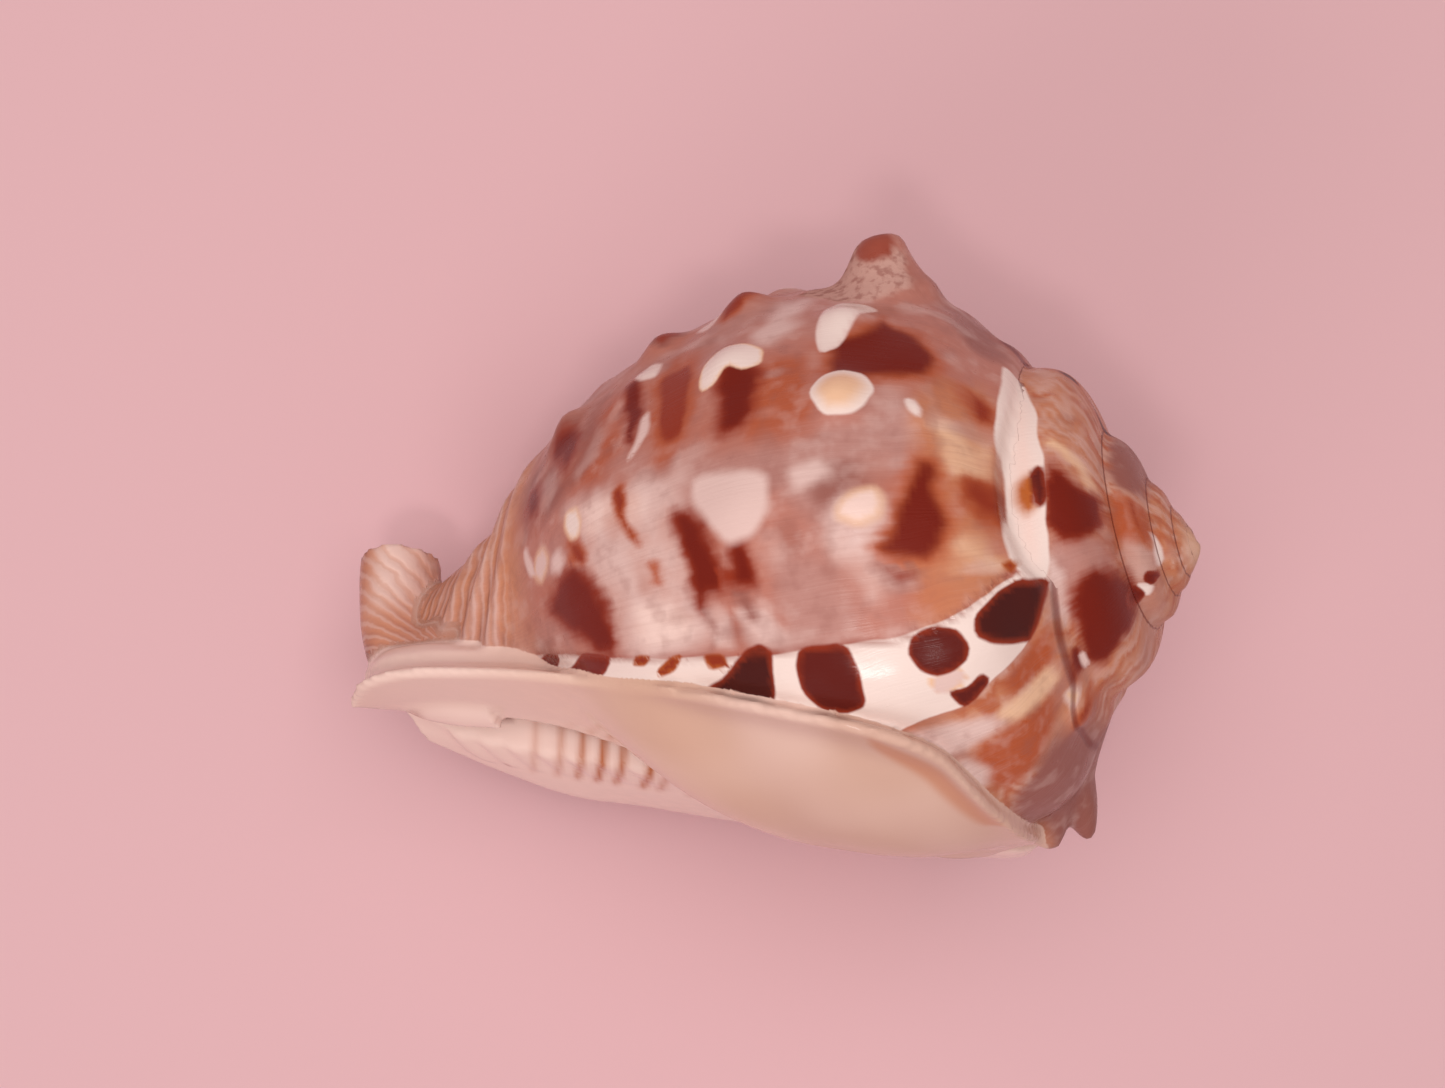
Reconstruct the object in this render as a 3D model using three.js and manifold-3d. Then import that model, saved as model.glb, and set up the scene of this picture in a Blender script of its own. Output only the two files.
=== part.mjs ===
// Helmet shell, one natural piece, in millimetres.
// It is shaped in its own frame and then laid on the surface as in the photo.
// In that frame h runs from the apex down the axis towards the canal, and the
// angle round the axis is 0 on the aperture face, 90 on the near side, 180 on
// the back and 270 on the far side. A point is written [h, back, near].
import * as THREE from 'three';
import { mergeVertices } from 'three/addons/utils/BufferGeometryUtils.js';
import Module from 'manifold-3d';

const wasm = await Module();
wasm.setup();

const DEG = Math.PI / 180;

// How it lies: turned on the surface, apex end lifted, aperture face rolled up
const YAW = 10.7 * DEG;
const APEX_LIFT = 20 * DEG;
const FACE_ROLL = 28.7 * DEG;

// Growth of the whorls per turn, and the angle where the size is one
const GROWTH = 1.75;
const UNIT_ANGLE = 140;
const SLOW_AFTER = 60;
const SLOW_SHARE = 0.45;

// Outline of one full grown whorl, [h, radius], from suture to canal
const BODY_OUTLINE = [
  [19.6, 0], [20.6, 24], [21.5, 31.6], [26, 37.4], [30, 42.4], [35, 45.6], [40, 47.3],
  [46, 49.3], [52.7, 50.5], [60, 50.6], [66, 49.9], [77, 47.2], [85, 44.8], [97.7, 38.2],
  [107.5, 29.8], [115.5, 21.8], [125.5, 16], [135, 10], [142, 0.5],
];

// Outline of the early whorls of the spire, which stand steeper
const SPIRE_OUTLINE = [
  [18.4, 0], [19.2, 24], [20.1, 31], [21.5, 37], [24, 43.5], [28, 49], [34, 52.5],
  [41, 54.5], [50, 56.5], [58, 50], [80, 4],
];

// Distance of the aperture face from the axis along h
const FACE_DISTANCE = [
  [28, 28], [40, 25], [55, 20], [76, 13], [102, 9], [125, 6], [137, 4], [142, 2],
];

// The spire leans this far off the axis, towards this angle, and is this much slimmer
const SPIRE_LEAN = 3.2;
const SPIRE_LEAN_ANGLE = 140;
const SPIRE_TRIM = 1.0;
const SPIRE_MIDDLE = 13;
const SPIRE_SPREAD = 9;

// The horn on the shoulder, and its outline as [height, radius]
const HORN_H = 42.2;
const HORN_ANGLE = 150;
const HORN_LEAN = 0.2;
const HORN_OUTLINE = [[-5, 10.5], [-1, 9.4], [1.8, 7], [5, 5], [7.2, 3.9], [8.3, 2.7], [8.7, 1]];

// Lower knobs, and two dents, [h, angle, height, half width]
const KNOBS = [
  [42.8, 126.5, 2.0, 5.0], [41.9, 104.5, 2.2, 5.0], [40.2, 80.5, 1.4, 5.0],
  [32.2, 101.6, 0.9, 3.0],
  [61.3, 139.5, 2.8, 4.8], [60.3, 117, 1.6, 5.0], [58.8, 84, 1.0, 6.5],
  [76.3, 138, 2.6, 4.4], [77.8, 124, 1.2, 4.5], [93.3, 129.5, 2.4, 3.8],
  [42, 176, 5.5, 7.0], [43.5, 203, 6.0, 7.5], [45, 231, 7.0, 8.0], [46, 259, 4.0, 7.0],
  [61.5, 164, 2.8, 6.0], [62.5, 196, 3.6, 6.5], [64, 232, 6.4, 8.0], [65, 262, 2.6, 6.5],
  [79, 164, 2.2, 5.5], [80, 192, 2.4, 5.5],
  [88, 222, 5.2, 7.5],
  [94, 160, 1.8, 5.0], [95, 190, 1.8, 5.0],
  [19.9, 12.7, 1.6, 2.6], [17.5, 9.1, 1.4, 2.6], [28, -42.5, 7.4, 3.8],
  [32.2, -34.5, 6.6, 4.0], [20.5, -32, -2.8, 6.0], [24, -52, -2.8, 6.0], [23, -72, 2.4, 4.5],
];

// The lip of an earlier growth stage, left standing as a band, [h, angle]
const BAND_MIDDLE = [
  [17, 60], [22, 56], [28, 51], [34, 49], [41, 48.5], [50, 52], [64, 57], [81, 60],
  [97, 64], [108, 68], [120, 74],
];
const BAND_HEIGHT = 1.5;
const BAND_HALF_WIDTH = 7;

// Ridges of old canals round the foot of the body, [h at angle 90, slope, height]
const FOOT_RIDGES = [[112, -0.11, 1.5], [118, -0.13, 2.0], [125, -0.12, 1.6]];
const FOOT_RIDGE_HALF_WIDTH = 2.3;

// Shield on the near side of the aperture: its free edge and its aperture edge
const SHIELD_EDGE = [
  [141, -8.5, 12.5], [134, -9, 20], [125.5, -9.5, 22.5], [112, -11.5, 22.5], [100, -15, 25],
  [84.5, -21, 29.5], [69, -27.5, 35.5], [54.5, -32.5, 35], [42.5, -36, 31.5], [36.2, -38, 25],
  [34, -40, 17.5], [33, -41, 9.5], [32, -40.5, -3], [33, -36.5, -18], [36, -31, -34],
  [39, -27, -46],
];
const SHIELD_INNER = [
  [139.5, -5, 2], [133, -6.5, 2.5], [126, -8.2, 2], [116, -10.5, 0], [107, -13, -1.5],
  [97, -17, -4], [86, -22, -9], [74, -27.5, -14.5], [63, -31.5, -19.5], [56, -33.5, -22],
  [51, -35, -24], [47, -35, -26], [44.5, -34, -29], [44, -32, -33], [44, -29.5, -38],
  [44, -27, -43],
];
const SHIELD_OVER_BODY = 0.9;
const SHIELD_EDGE_DEPTH = 2.4;
const SHIELD_DEPTH = 9;
const SHIELD_SPANS = 8;

// Outer lip on the far side: outer margin and toothed margin
const LIP_OUTER = [
  [140, -6, -12], [131, -9, -26], [121, -12, -36], [110, -13, -43], [98, -14.5, -51],
  [88, -15, -58.5], [79, -15, -65.5], [70, -16.5, -69.2], [60, -20, -66.5], [50, -24, -60.5],
  [43, -26.5, -53], [39, -27.5, -45],
];
const LIP_INNER = [
  [139, -4, -3], [130, -7.5, -3], [121, -10, -4], [111, -13, -6], [101, -15.5, -9],
  [91, -18, -13], [80, -20.5, -19], [69, -23, -25], [59, -25.5, -28.5], [51, -28, -31],
  [46, -29.5, -33], [43, -30, -36],
];
// Section of the lip, [share of the way from toothed to outer margin, depth behind]
const LIP_SECTION = [
  [0, 0], [0.16, -1.1], [0.4, -1.8], [0.68, -1.3], [0.9, 0.2], [0.985, 3.4], [1.015, 8],
  [1.005, 13.5], [0.93, 17.6], [0.68, 16.6], [0.3, 10], [0.06, 5.5], [-0.04, 2.4],
];
const LIP_STATIONS = 24;
const TEETH = 15;
const TOOTH_HEIGHT = 0.8;
const TOOTH_SECTION = [[-1.5, 0.35], [1, 1], [6.5, 0.9], [10.5, 0.2]];

// Recurved canal at the narrow end: middle line and radii across and towards us
const CANAL_PATH = [
  [118, -1, 3, 11, 11], [125, -1, 3.5, 9.5, 10.5], [131, 0, 3.5, 8, 9.5], [135.4, 3, 3.5, 6.8, 9],
  [137.6, 8, 3.5, 6.5, 8.6], [138.6, 14, 3.5, 6.6, 8.2], [139, 19, 3.5, 6.8, 7.8],
  [139, 22.6, 3.5, 6.9, 7.6],
];
const CANAL_BORE = [
  [126, -4, -1, 3, 3], [131, -2, 1, 3, 3], [135, 3, 3, 3.2, 3.8],
  [137.4, 9, 3.5, 3.8, 4.6], [138.6, 15, 3.5, 4.6, 5.4], [139, 20, 3.5, 5.1, 5.9],
  [139, 28, 3.5, 5.4, 6.2],
];

// Aperture slot between the shield and the lip, cut level from the aperture face
const SLOT_FROM = 56;
const SLOT_TO = 133;
const SLOT_STEP = 7;
const SLOT_HALF_WIDTH = 3.9;
const SLOT_DEPTH = 13;
const SLOT_REACH_OUT = 40;
const SLOT_MARGIN_POINTS = 10;

// What is worn off the resting points, so that they are small flats
const WORN_DEPTH = 0.5;

// Mesh density of the body
const BODY_SECTORS = 60;
const SPIRE_STEP = 1.2;
const SPIRE_END = 26;
const BODY_RINGS = 36;
const BODY_END = 141.6;

// Smooth curve through listed points that never overshoots them
function curve(points) {
  const x = points.map((p) => p[0]);
  const y = points.map((p) => p[1]);
  const last = x.length - 1;
  const step = x.slice(1).map((v, i) => v - x[i]);
  const rise = step.map((s, i) => (y[i + 1] - y[i]) / s);
  const slope = y.map((v, i) => {
    if (i === 0) return rise[0];
    if (i === last) return rise[last - 1];
    if (rise[i - 1] * rise[i] <= 0) return 0;
    const a = 2 * step[i] + step[i - 1];
    const b = step[i] + 2 * step[i - 1];
    return (a + b) / (a / rise[i - 1] + b / rise[i]);
  });
  return (at) => {
    const v = Math.min(Math.max(at, x[0]), x[last]);
    let i = 0;
    while (i < last - 1 && v > x[i + 1]) i += 1;
    const t = (v - x[i]) / step[i];
    const u = 1 - t;
    return (1 + 2 * t) * u * u * y[i] + t * u * u * step[i] * slope[i]
      + t * t * (3 - 2 * t) * y[i + 1] - t * t * u * step[i] * slope[i + 1];
  };
}

const bodyOutline = curve(BODY_OUTLINE);
const spireOutline = curve(SPIRE_OUTLINE);
const faceDistance = curve(FACE_DISTANCE);
const bandMiddle = curve(BAND_MIDDLE);

function ease(from, to, at) {
  const t = Math.min(Math.max((at - from) / (to - from), 0), 1);
  return t * t * (3 - 2 * t);
}

function softMax(a, b, reach) {
  const t = Math.min(Math.max(0.5 + (0.5 * (a - b)) / reach, 0), 1);
  return b * (1 - t) + a * t + reach * t * (1 - t);
}

function softMin(a, b, reach) {
  return -softMax(-a, -b, reach);
}

function bell(distance, halfWidth) {
  const t = distance / halfWidth;
  return Math.exp(-1.4 * t * t);
}

// Size of the shell when its mouth stood at this angle; turns are 360 apart
function growth(angle) {
  const since = angle - UNIT_ANGLE;
  const fast = Math.min(since, SLOW_AFTER);
  const slow = Math.max(since - SLOW_AFTER, 0) * SLOW_SHARE;
  return GROWTH ** ((fast + slow) / 360);
}

// Outer radius of the whorl that was laid down at this angle
function whorl(h, angle) {
  const size = growth(angle);
  const early = ease(-40, -160, angle);
  const x = h / size;
  const drop = (3.6 * Math.exp(-(((angle - 82) / 26) ** 2)) * ease(52, 66, angle)) / size;
  const late = x < 21.5 + drop ? x - drop : x;
  return size * ((1 - early) * bodyOutline(late) + early * spireOutline(x));
}

// Radius of the whorls at h, for an angle from -90 to 270
function whorlsRadius(h, angle) {
  let radius = whorl(h, angle);
  for (let turn = 1; turn < 6; turn += 1) {
    radius = softMax(radius, whorl(h, angle - 360 * turn), 0.4);
  }
  if (angle < -30) {
    const ahead = Math.cos(angle * DEG);
    const face = ahead > 0.02 ? faceDistance(h) / ahead : 1000;
    const last = softMin(whorl(h, angle + 360), face, 3);
    radius = softMax(radius, last, 1.5);
  }
  return Math.max(radius - SPIRE_TRIM * spireShare(h), 0.4);
}

function angleApart(a, b) {
  const d = (a - b) % 360;
  return d > 180 ? d - 360 : d < -180 ? d + 360 : d;
}

// Knobs, the band and the ridges of the foot, added to the smooth whorls
function relief(h, angle, radius) {
  let lift = 0;
  for (const [kh, ka, height, width] of KNOBS) {
    const round = angleApart(angle, ka) * DEG * radius;
    lift += height * bell(Math.hypot(h - kh, round), width);
  }
  const along = angleApart(angle, bandMiddle(h)) * DEG * radius;
  lift += BAND_HEIGHT * bell(along, BAND_HALF_WIDTH) * ease(16, 21, h) * ease(124, 112, h);
  const foot = ease(60, 72, angle) * ease(158, 140, angle);
  for (const [rh, slope, height] of FOOT_RIDGES) {
    lift += height * bell(h - rh - slope * (angle - 90), FOOT_RIDGE_HALF_WIDTH) * foot;
  }
  return lift;
}

function bodyRadius(h, angle) {
  const radius = whorlsRadius(h, angle);
  return radius + relief(h, angle, radius);
}

function spireShare(h) {
  return Math.exp(-(((h - SPIRE_MIDDLE) / SPIRE_SPREAD) ** 2));
}

// Offset of the ring centres, [back, near], where the spire leans
function ringCentre(h) {
  const lean = SPIRE_LEAN * spireShare(h);
  const a = SPIRE_LEAN_ANGLE * DEG;
  return [-lean * Math.cos(a), lean * Math.sin(a)];
}

function polar(h, angle, radius) {
  const [back, near] = ringCentre(h);
  return [h, back - radius * Math.cos(angle * DEG), near + radius * Math.sin(angle * DEG)];
}

// Shell axes in the frame of the surface it lies on
const axisOut = new THREE.Vector3(
  Math.cos(APEX_LIFT) * Math.cos(YAW), Math.cos(APEX_LIFT) * Math.sin(YAW), Math.sin(APEX_LIFT));
const backLevel = new THREE.Vector3(-Math.sin(YAW), Math.cos(YAW), 0);
const nearLevel = new THREE.Vector3().crossVectors(axisOut, backLevel);
const backDir = backLevel.clone().multiplyScalar(Math.cos(FACE_ROLL))
  .addScaledVector(nearLevel, -Math.sin(FACE_ROLL));
const nearDir = backLevel.clone().multiplyScalar(Math.sin(FACE_ROLL))
  .addScaledVector(nearLevel, Math.cos(FACE_ROLL));

function laid([h, back, near]) {
  return new THREE.Vector3().addScaledVector(axisOut, -h)
    .addScaledVector(backDir, back).addScaledVector(nearDir, near);
}

// A closed solid through a list of rings of equal length, its two ends closed
function solidThrough(rings) {
  const n = rings[0].length;
  const points = rings.flat().map(laid);
  const middles = [rings[0], rings[rings.length - 1]].map((ring) => {
    const middle = new THREE.Vector3();
    for (const p of ring) middle.add(laid(p));
    return middle.divideScalar(n);
  });
  const startCap = points.length;
  points.push(...middles);
  const faces = [];
  for (let r = 0; r + 1 < rings.length; r += 1) {
    for (let i = 0; i < n; i += 1) {
      const a = r * n + i;
      const b = r * n + ((i + 1) % n);
      faces.push([a, b, b + n], [a, b + n, a + n]);
    }
  }
  const end = (rings.length - 1) * n;
  for (let i = 0; i < n; i += 1) {
    const j = (i + 1) % n;
    faces.push([startCap, j, i], [startCap + 1, end + i, end + j]);
  }
  let volume = 0;
  for (const [a, b, c] of faces) {
    volume += points[a].dot(new THREE.Vector3().crossVectors(points[b], points[c]));
  }
  const index = volume > 0 ? faces.flat() : faces.flatMap(([a, b, c]) => [a, c, b]);
  return new wasm.Manifold(new wasm.Mesh({
    numProp: 3,
    vertProperties: new Float32Array(points.flatMap((p) => [p.x, p.y, p.z])),
    triVerts: new Uint32Array(index),
  }));
}

// Point on a line of listed points, t from 0 to 1, rounded by a spline
function splineOf(points) {
  const line = new THREE.CatmullRomCurve3(points.map((p) => new THREE.Vector3(...p)), false, 'centripetal');
  return (t) => line.getPoint(t);
}

function body() {
  const heights = [];
  for (let h = 0.35; h < SPIRE_END; h += SPIRE_STEP) heights.push(h);
  for (let i = 0; i <= BODY_RINGS; i += 1) {
    heights.push(SPIRE_END + ((BODY_END - SPIRE_END) * i) / BODY_RINGS);
  }
  const rings = heights.map((h) => {
    const ring = [];
    for (let i = 0; i < BODY_SECTORS; i += 1) {
      const angle = -90 + (360 * i) / BODY_SECTORS;
      ring.push(polar(h, angle, bodyRadius(h, angle)));
    }
    return ring;
  });
  return solidThrough(rings);
}

// Keeps a point of the shield just above the whorl that it covers
function overBody([h, back, near]) {
  const [cb, cn] = ringCentre(h);
  let angle = Math.atan2(near - cn, -(back - cb)) / DEG;
  if (angle < -90) angle += 360;
  const radius = Math.hypot(back - cb, near - cn);
  const least = whorlsRadius(h, angle) + SHIELD_OVER_BODY;
  return angle > -60 && angle < 75 && radius < least ? polar(h, angle, least) : [h, back, near];
}

function shield() {
  const rings = SHIELD_EDGE.map((edge, k) => {
    const inner = SHIELD_INNER[k];
    const front = [];
    const rear = [];
    for (let i = 0; i <= SHIELD_SPANS; i += 1) {
      const t = i / SHIELD_SPANS;
      const p = overBody(edge.map((v, c) => v + (inner[c] - v) * t));
      const depth = SHIELD_EDGE_DEPTH + (SHIELD_DEPTH - SHIELD_EDGE_DEPTH) * ease(0, 0.4, t);
      front.push(p);
      rear.unshift([p[0], p[1] + depth, p[2] - (t < 0.2 ? 1.2 : 0)]);
    }
    const lip = [edge[0], front[0][1] + SHIELD_EDGE_DEPTH / 2, front[0][2] + 1.1];
    return [lip, ...front, ...rear];
  });
  return solidThrough(rings);
}

function outerLip() {
  const outer = splineOf(LIP_OUTER);
  const inner = splineOf(LIP_INNER);
  const rings = [];
  for (let s = 0; s <= LIP_STATIONS; s += 1) {
    const t = s / LIP_STATIONS;
    const a = inner(t);
    const b = outer(t);
    const thick = 0.45 + 0.55 * ease(0, 0.25, t) * ease(1.15, 0.85, t);
    rings.push(LIP_SECTION.map(([share, depth]) => [
      a.x + (b.x - a.x) * share, a.y + (b.y - a.y) * share + depth * thick,
      a.z + (b.z - a.z) * share]));
  }
  return solidThrough(rings);
}

// A tube of elliptic rings along a path of [h, back, near, radius across, radius near]
function tube(path, sides) {
  const points = path.map(([h, back, near]) => new THREE.Vector3(h, back, near));
  const nearAxis = new THREE.Vector3(0, 0, 1);
  const rings = path.map(([h, back, near, across, out], k) => {
    const ahead = points[Math.min(k + 1, points.length - 1)].clone()
      .sub(points[Math.max(k - 1, 0)]).normalize();
    const side = new THREE.Vector3().crossVectors(nearAxis, ahead).normalize();
    const up = new THREE.Vector3().crossVectors(ahead, side);
    const ring = [];
    for (let i = 0; i < sides; i += 1) {
      const a = (2 * Math.PI * i) / sides;
      const p = points[k].clone().addScaledVector(side, across * Math.cos(a))
        .addScaledVector(up, out * Math.sin(a));
      ring.push([p.x, p.y, p.z]);
    }
    return ring;
  });
  return solidThrough(rings);
}

function teeth() {
  const outer = splineOf(LIP_OUTER);
  const inner = splineOf(LIP_INNER);
  const list = [];
  for (let i = 0; i < TEETH; i += 1) {
    const t = 0.1 + (0.66 * i) / (TEETH - 1);
    const a = inner(t);
    const across = outer(t).sub(a).normalize();
    const rings = TOOTH_SECTION.map(([way, size]) => {
      const ring = [];
      for (let s = 0; s < 5; s += 1) {
        const turn = (2 * Math.PI * s) / 5;
        ring.push([a.x + across.x * way + 1.6 * size * Math.cos(turn),
          a.y + across.y * way - 0.2 + 2 * TOOTH_HEIGHT * size * Math.sin(turn),
          a.z + across.z * way]);
      }
      return ring;
    });
    list.push(solidThrough(rings));
  }
  return list;
}

function horn() {
  const root = whorlsRadius(HORN_H, HORN_ANGLE);
  const turn = HORN_ANGLE * DEG;
  const rings = HORN_OUTLINE.map(([height, radius]) => {
    const middle = polar(HORN_H - HORN_LEAN * height, HORN_ANGLE, root + height);
    const ring = [];
    for (let s = 0; s < 14; s += 1) {
      const a = (2 * Math.PI * s) / 14;
      const round = radius * Math.sin(a);
      ring.push([middle[0] + radius * Math.cos(a), middle[1] + round * Math.sin(turn),
        middle[2] + round * Math.cos(turn)]);
    }
    return ring;
  });
  return solidThrough(rings);
}

// One value of a margin's listed points as a curve along h
function marginCurve(points, value) {
  return curve(points.map((p) => [p[0], p[value]]).sort((a, b) => a[0] - b[0]));
}

// Both margins of the slot, [back, near], the shield's without its turn at the spire end
const shieldMargin = [1, 2].map((value) => marginCurve(SHIELD_INNER.slice(0, SLOT_MARGIN_POINTS), value));
const lipMargin = [1, 2].map((value) => marginCurve(LIP_INNER, value));

// Middle of the slot's mouth at h, [back, near], half way between its margins
function slotMouth(h) {
  return [0, 1].map((k) => (shieldMargin[k](h) + lipMargin[k](h)) / 2);
}

// The slot runs level into the shell, away from the side that the aperture faces
function slot() {
  const level = new THREE.Vector3(0, 1, 0);
  const inward = [-level.dot(axisOut), level.dot(backDir), level.dot(nearDir)];
  const rings = [];
  for (let h = SLOT_FROM; h <= SLOT_TO; h += SLOT_STEP) {
    const [back, near] = slotMouth(h);
    const ends = ease(SLOT_TO + 3, 120, h) * ease(SLOT_FROM - 6, 66, h);
    const half = SLOT_HALF_WIDTH * (0.45 + 0.55 * ends);
    const depth = SLOT_DEPTH * (0.5 + 0.5 * ends);
    const corners = [[-half, -SLOT_REACH_OUT], [half, -SLOT_REACH_OUT], [half, depth], [-half, depth]];
    rings.push(corners.map(([side, way]) => [
      h + inward[0] * way, back + inward[1] * way, near + side + inward[2] * way]));
  }
  return solidThrough(rings);
}

// A block under the given level, to wear the resting points flat
function groundBlock(level) {
  const reach = 200;
  const corners = [[-reach, -reach], [reach, -reach], [reach, reach], [-reach, reach]];
  const points = [...corners.map(([x, y]) => [x, y, level]),
    ...corners.map(([x, y]) => [x, y, level - reach])];
  const index = [0, 1, 2, 0, 2, 3, 4, 6, 5, 4, 7, 6];
  for (let i = 0; i < 4; i += 1) {
    const j = (i + 1) % 4;
    index.push(i, i + 4, j + 4, i, j + 4, j);
  }
  return new wasm.Manifold(new wasm.Mesh({
    numProp: 3,
    vertProperties: new Float32Array(points.flat()),
    triVerts: new Uint32Array(index),
  }));
}

function shellSolid() {
  let solid = body();
  for (const piece of [horn(), shield(), outerLip(), tube(CANAL_PATH, 18), ...teeth()]) {
    solid = solid.add(piece);
  }
  for (const space of [slot(), tube(CANAL_BORE, 12)]) {
    solid = solid.subtract(space);
  }
  const lowest = solid.boundingBox().min[2];
  return solid.subtract(groundBlock(lowest + WORN_DEPTH));
}

// Mesh of the solid with its bounding box centred and resting on zero
function shellGeometry() {
  const mesh = shellSolid().getMesh();
  const geometry = new THREE.BufferGeometry();
  geometry.setAttribute('position', new THREE.BufferAttribute(
    Float32Array.from(mesh.vertProperties), mesh.numProp));
  geometry.setIndex(Array.from(mesh.triVerts));
  geometry.computeBoundingBox();
  const box = geometry.boundingBox;
  geometry.translate(-(box.min.x + box.max.x) / 2, -(box.min.y + box.max.y) / 2, -box.min.z);
  const merged = mergeVertices(geometry, 1e-4);
  merged.computeVertexNormals();
  return merged;
}

const shellMaterial = new THREE.MeshStandardMaterial({ color: 0xc08d78, roughness: 0.3 });
const helmetShell = new THREE.Mesh(shellGeometry(), shellMaterial);
helmetShell.name = 'helmet_shell';

const group = new THREE.Group();
group.name = 'helmet_shell_part';
group.add(helmetShell);

export default group;
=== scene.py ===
"""Helmet shell: the fine surface, its colours, and the photo's view of it."""

import math

import bpy
import mathutils
import numpy as np
import openvdb as vdb
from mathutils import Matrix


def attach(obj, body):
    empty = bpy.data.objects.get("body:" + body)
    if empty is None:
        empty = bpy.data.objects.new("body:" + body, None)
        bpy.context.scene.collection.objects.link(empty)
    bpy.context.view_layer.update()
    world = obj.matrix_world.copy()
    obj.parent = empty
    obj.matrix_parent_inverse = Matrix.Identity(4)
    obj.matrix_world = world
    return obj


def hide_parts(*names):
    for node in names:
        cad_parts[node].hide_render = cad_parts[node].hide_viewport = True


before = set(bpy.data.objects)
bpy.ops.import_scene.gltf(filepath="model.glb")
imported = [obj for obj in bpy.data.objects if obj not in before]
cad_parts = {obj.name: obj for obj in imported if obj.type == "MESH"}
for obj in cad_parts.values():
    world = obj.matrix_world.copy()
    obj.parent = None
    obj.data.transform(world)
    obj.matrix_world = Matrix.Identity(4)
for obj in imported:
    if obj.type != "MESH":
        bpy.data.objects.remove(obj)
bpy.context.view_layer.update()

MM = 0.001

# How the shell lies, and where its apex is above the surface, in mm
YAW = math.radians(10.7)
APEX_LIFT = math.radians(20.0)
FACE_ROLL = math.radians(28.7)
APEX_AT = np.array([68.494, 2.678, 80.262])

# Growth per turn, the angle where the size is one, and the slower growth so many degrees after it
GROWTH = 1.75
UNIT_ANGLE = 140.0
SLOW_AFTER = 60.0
SLOW_SHARE = 0.45
OLDER_TURNS = 5

# Near one angle the last whorl starts lower by this much, down to the shoulder
SUTURE_DROP = 3.6
SUTURE_DROP_ANGLE = 82.0
SUTURE_DROP_SPREAD = 26.0
SHOULDER_H = 21.5

# Outline of one full grown whorl, (h, radius), from suture to canal
BODY_OUTLINE = [
    (19.6, 0), (20.6, 24), (21.5, 31.6), (26, 37.4), (30, 42.4), (35, 45.6), (40, 47.3),
    (46, 49.3), (52.7, 50.5), (60, 50.6), (66, 49.9), (77, 47.2), (85, 44.8), (97.7, 38.2),
    (107.5, 29.8), (115.5, 21.8), (125.5, 16), (135, 10), (142, 0.5),
]
# Outline of the early whorls of the spire, which stand steeper
SPIRE_OUTLINE = [
    (18.4, 0), (19.2, 24), (20.1, 31), (21.5, 37), (24, 43.5), (28, 49), (34, 52.5),
    (41, 54.5), (50, 56.5), (58, 50), (80, 4),
]
# Distance of the aperture face from the axis along h
FACE_DISTANCE = [
    (28, 28), (40, 25), (55, 20), (76, 13), (102, 9), (125, 6), (137, 4), (142, 2),
]

# The spire leans this far off the axis, towards this angle, and is this much slimmer
SPIRE_LEAN = 3.2
SPIRE_LEAN_ANGLE = math.radians(140.0)
SPIRE_TRIM = 1.0
SPIRE_MIDDLE = 13.0
SPIRE_SPREAD = 9.0

# The horn on the shoulder, and its outline as (height, radius)
HORN_H = 42.2
HORN_ANGLE = 150.0
HORN_LEAN = 0.2
HORN_OUTLINE = [(-5, 10.5), (-1, 9.4), (1.8, 7), (5, 5), (7.2, 3.9), (8.3, 2.7), (8.7, 1)]

# Lower knobs, and two dents, (h, angle, height, half width)
KNOBS = [
    (42.8, 126.5, 2.0, 5.0), (41.9, 104.5, 2.2, 5.0), (40.2, 80.5, 1.4, 5.0),
    (32.2, 101.6, 0.9, 3.0),
    (61.3, 139.5, 2.8, 4.8), (60.3, 117, 1.6, 5.0), (58.8, 84, 1.0, 6.5),
    (76.3, 138, 2.6, 4.4), (77.8, 124, 1.2, 4.5), (93.3, 129.5, 2.4, 3.8),
    (42, 176, 5.5, 7.0), (43.5, 203, 6.0, 7.5), (45, 231, 7.0, 8.0), (46, 259, 4.0, 7.0),
    (61.5, 164, 2.8, 6.0), (62.5, 196, 3.6, 6.5), (64, 232, 6.4, 8.0), (65, 262, 2.6, 6.5),
    (79, 164, 2.2, 5.5), (80, 192, 2.4, 5.5),
    (88, 222, 5.2, 7.5),
    (94, 160, 1.8, 5.0), (95, 190, 1.8, 5.0),
    (19.9, 12.7, 1.6, 2.6), (17.5, 9.1, 1.4, 2.6), (28, -42.5, 7.4, 3.8),
    (32.2, -34.5, 6.6, 4.0), (20.5, -32, -2.8, 6.0), (24, -52, -2.8, 6.0), (23, -72, 2.4, 4.5),
]

# The lip of an earlier growth stage, left standing as a band, (h, angle)
BAND_MIDDLE = [
    (17, 60), (22, 56), (28, 51), (34, 49), (41, 48.5), (50, 52), (64, 57), (81, 60),
    (97, 64), (108, 68), (120, 74),
]
BAND_HEIGHT = 1.5
BAND_HALF_WIDTH = 7.0

# Ridges of old canals round the foot of the body, (h at angle 90, slope, height)
FOOT_RIDGES = [(112, -0.11, 1.5), (118, -0.13, 2.0), (125, -0.12, 1.6)]
FOOT_RIDGE_HALF_WIDTH = 2.3

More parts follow.
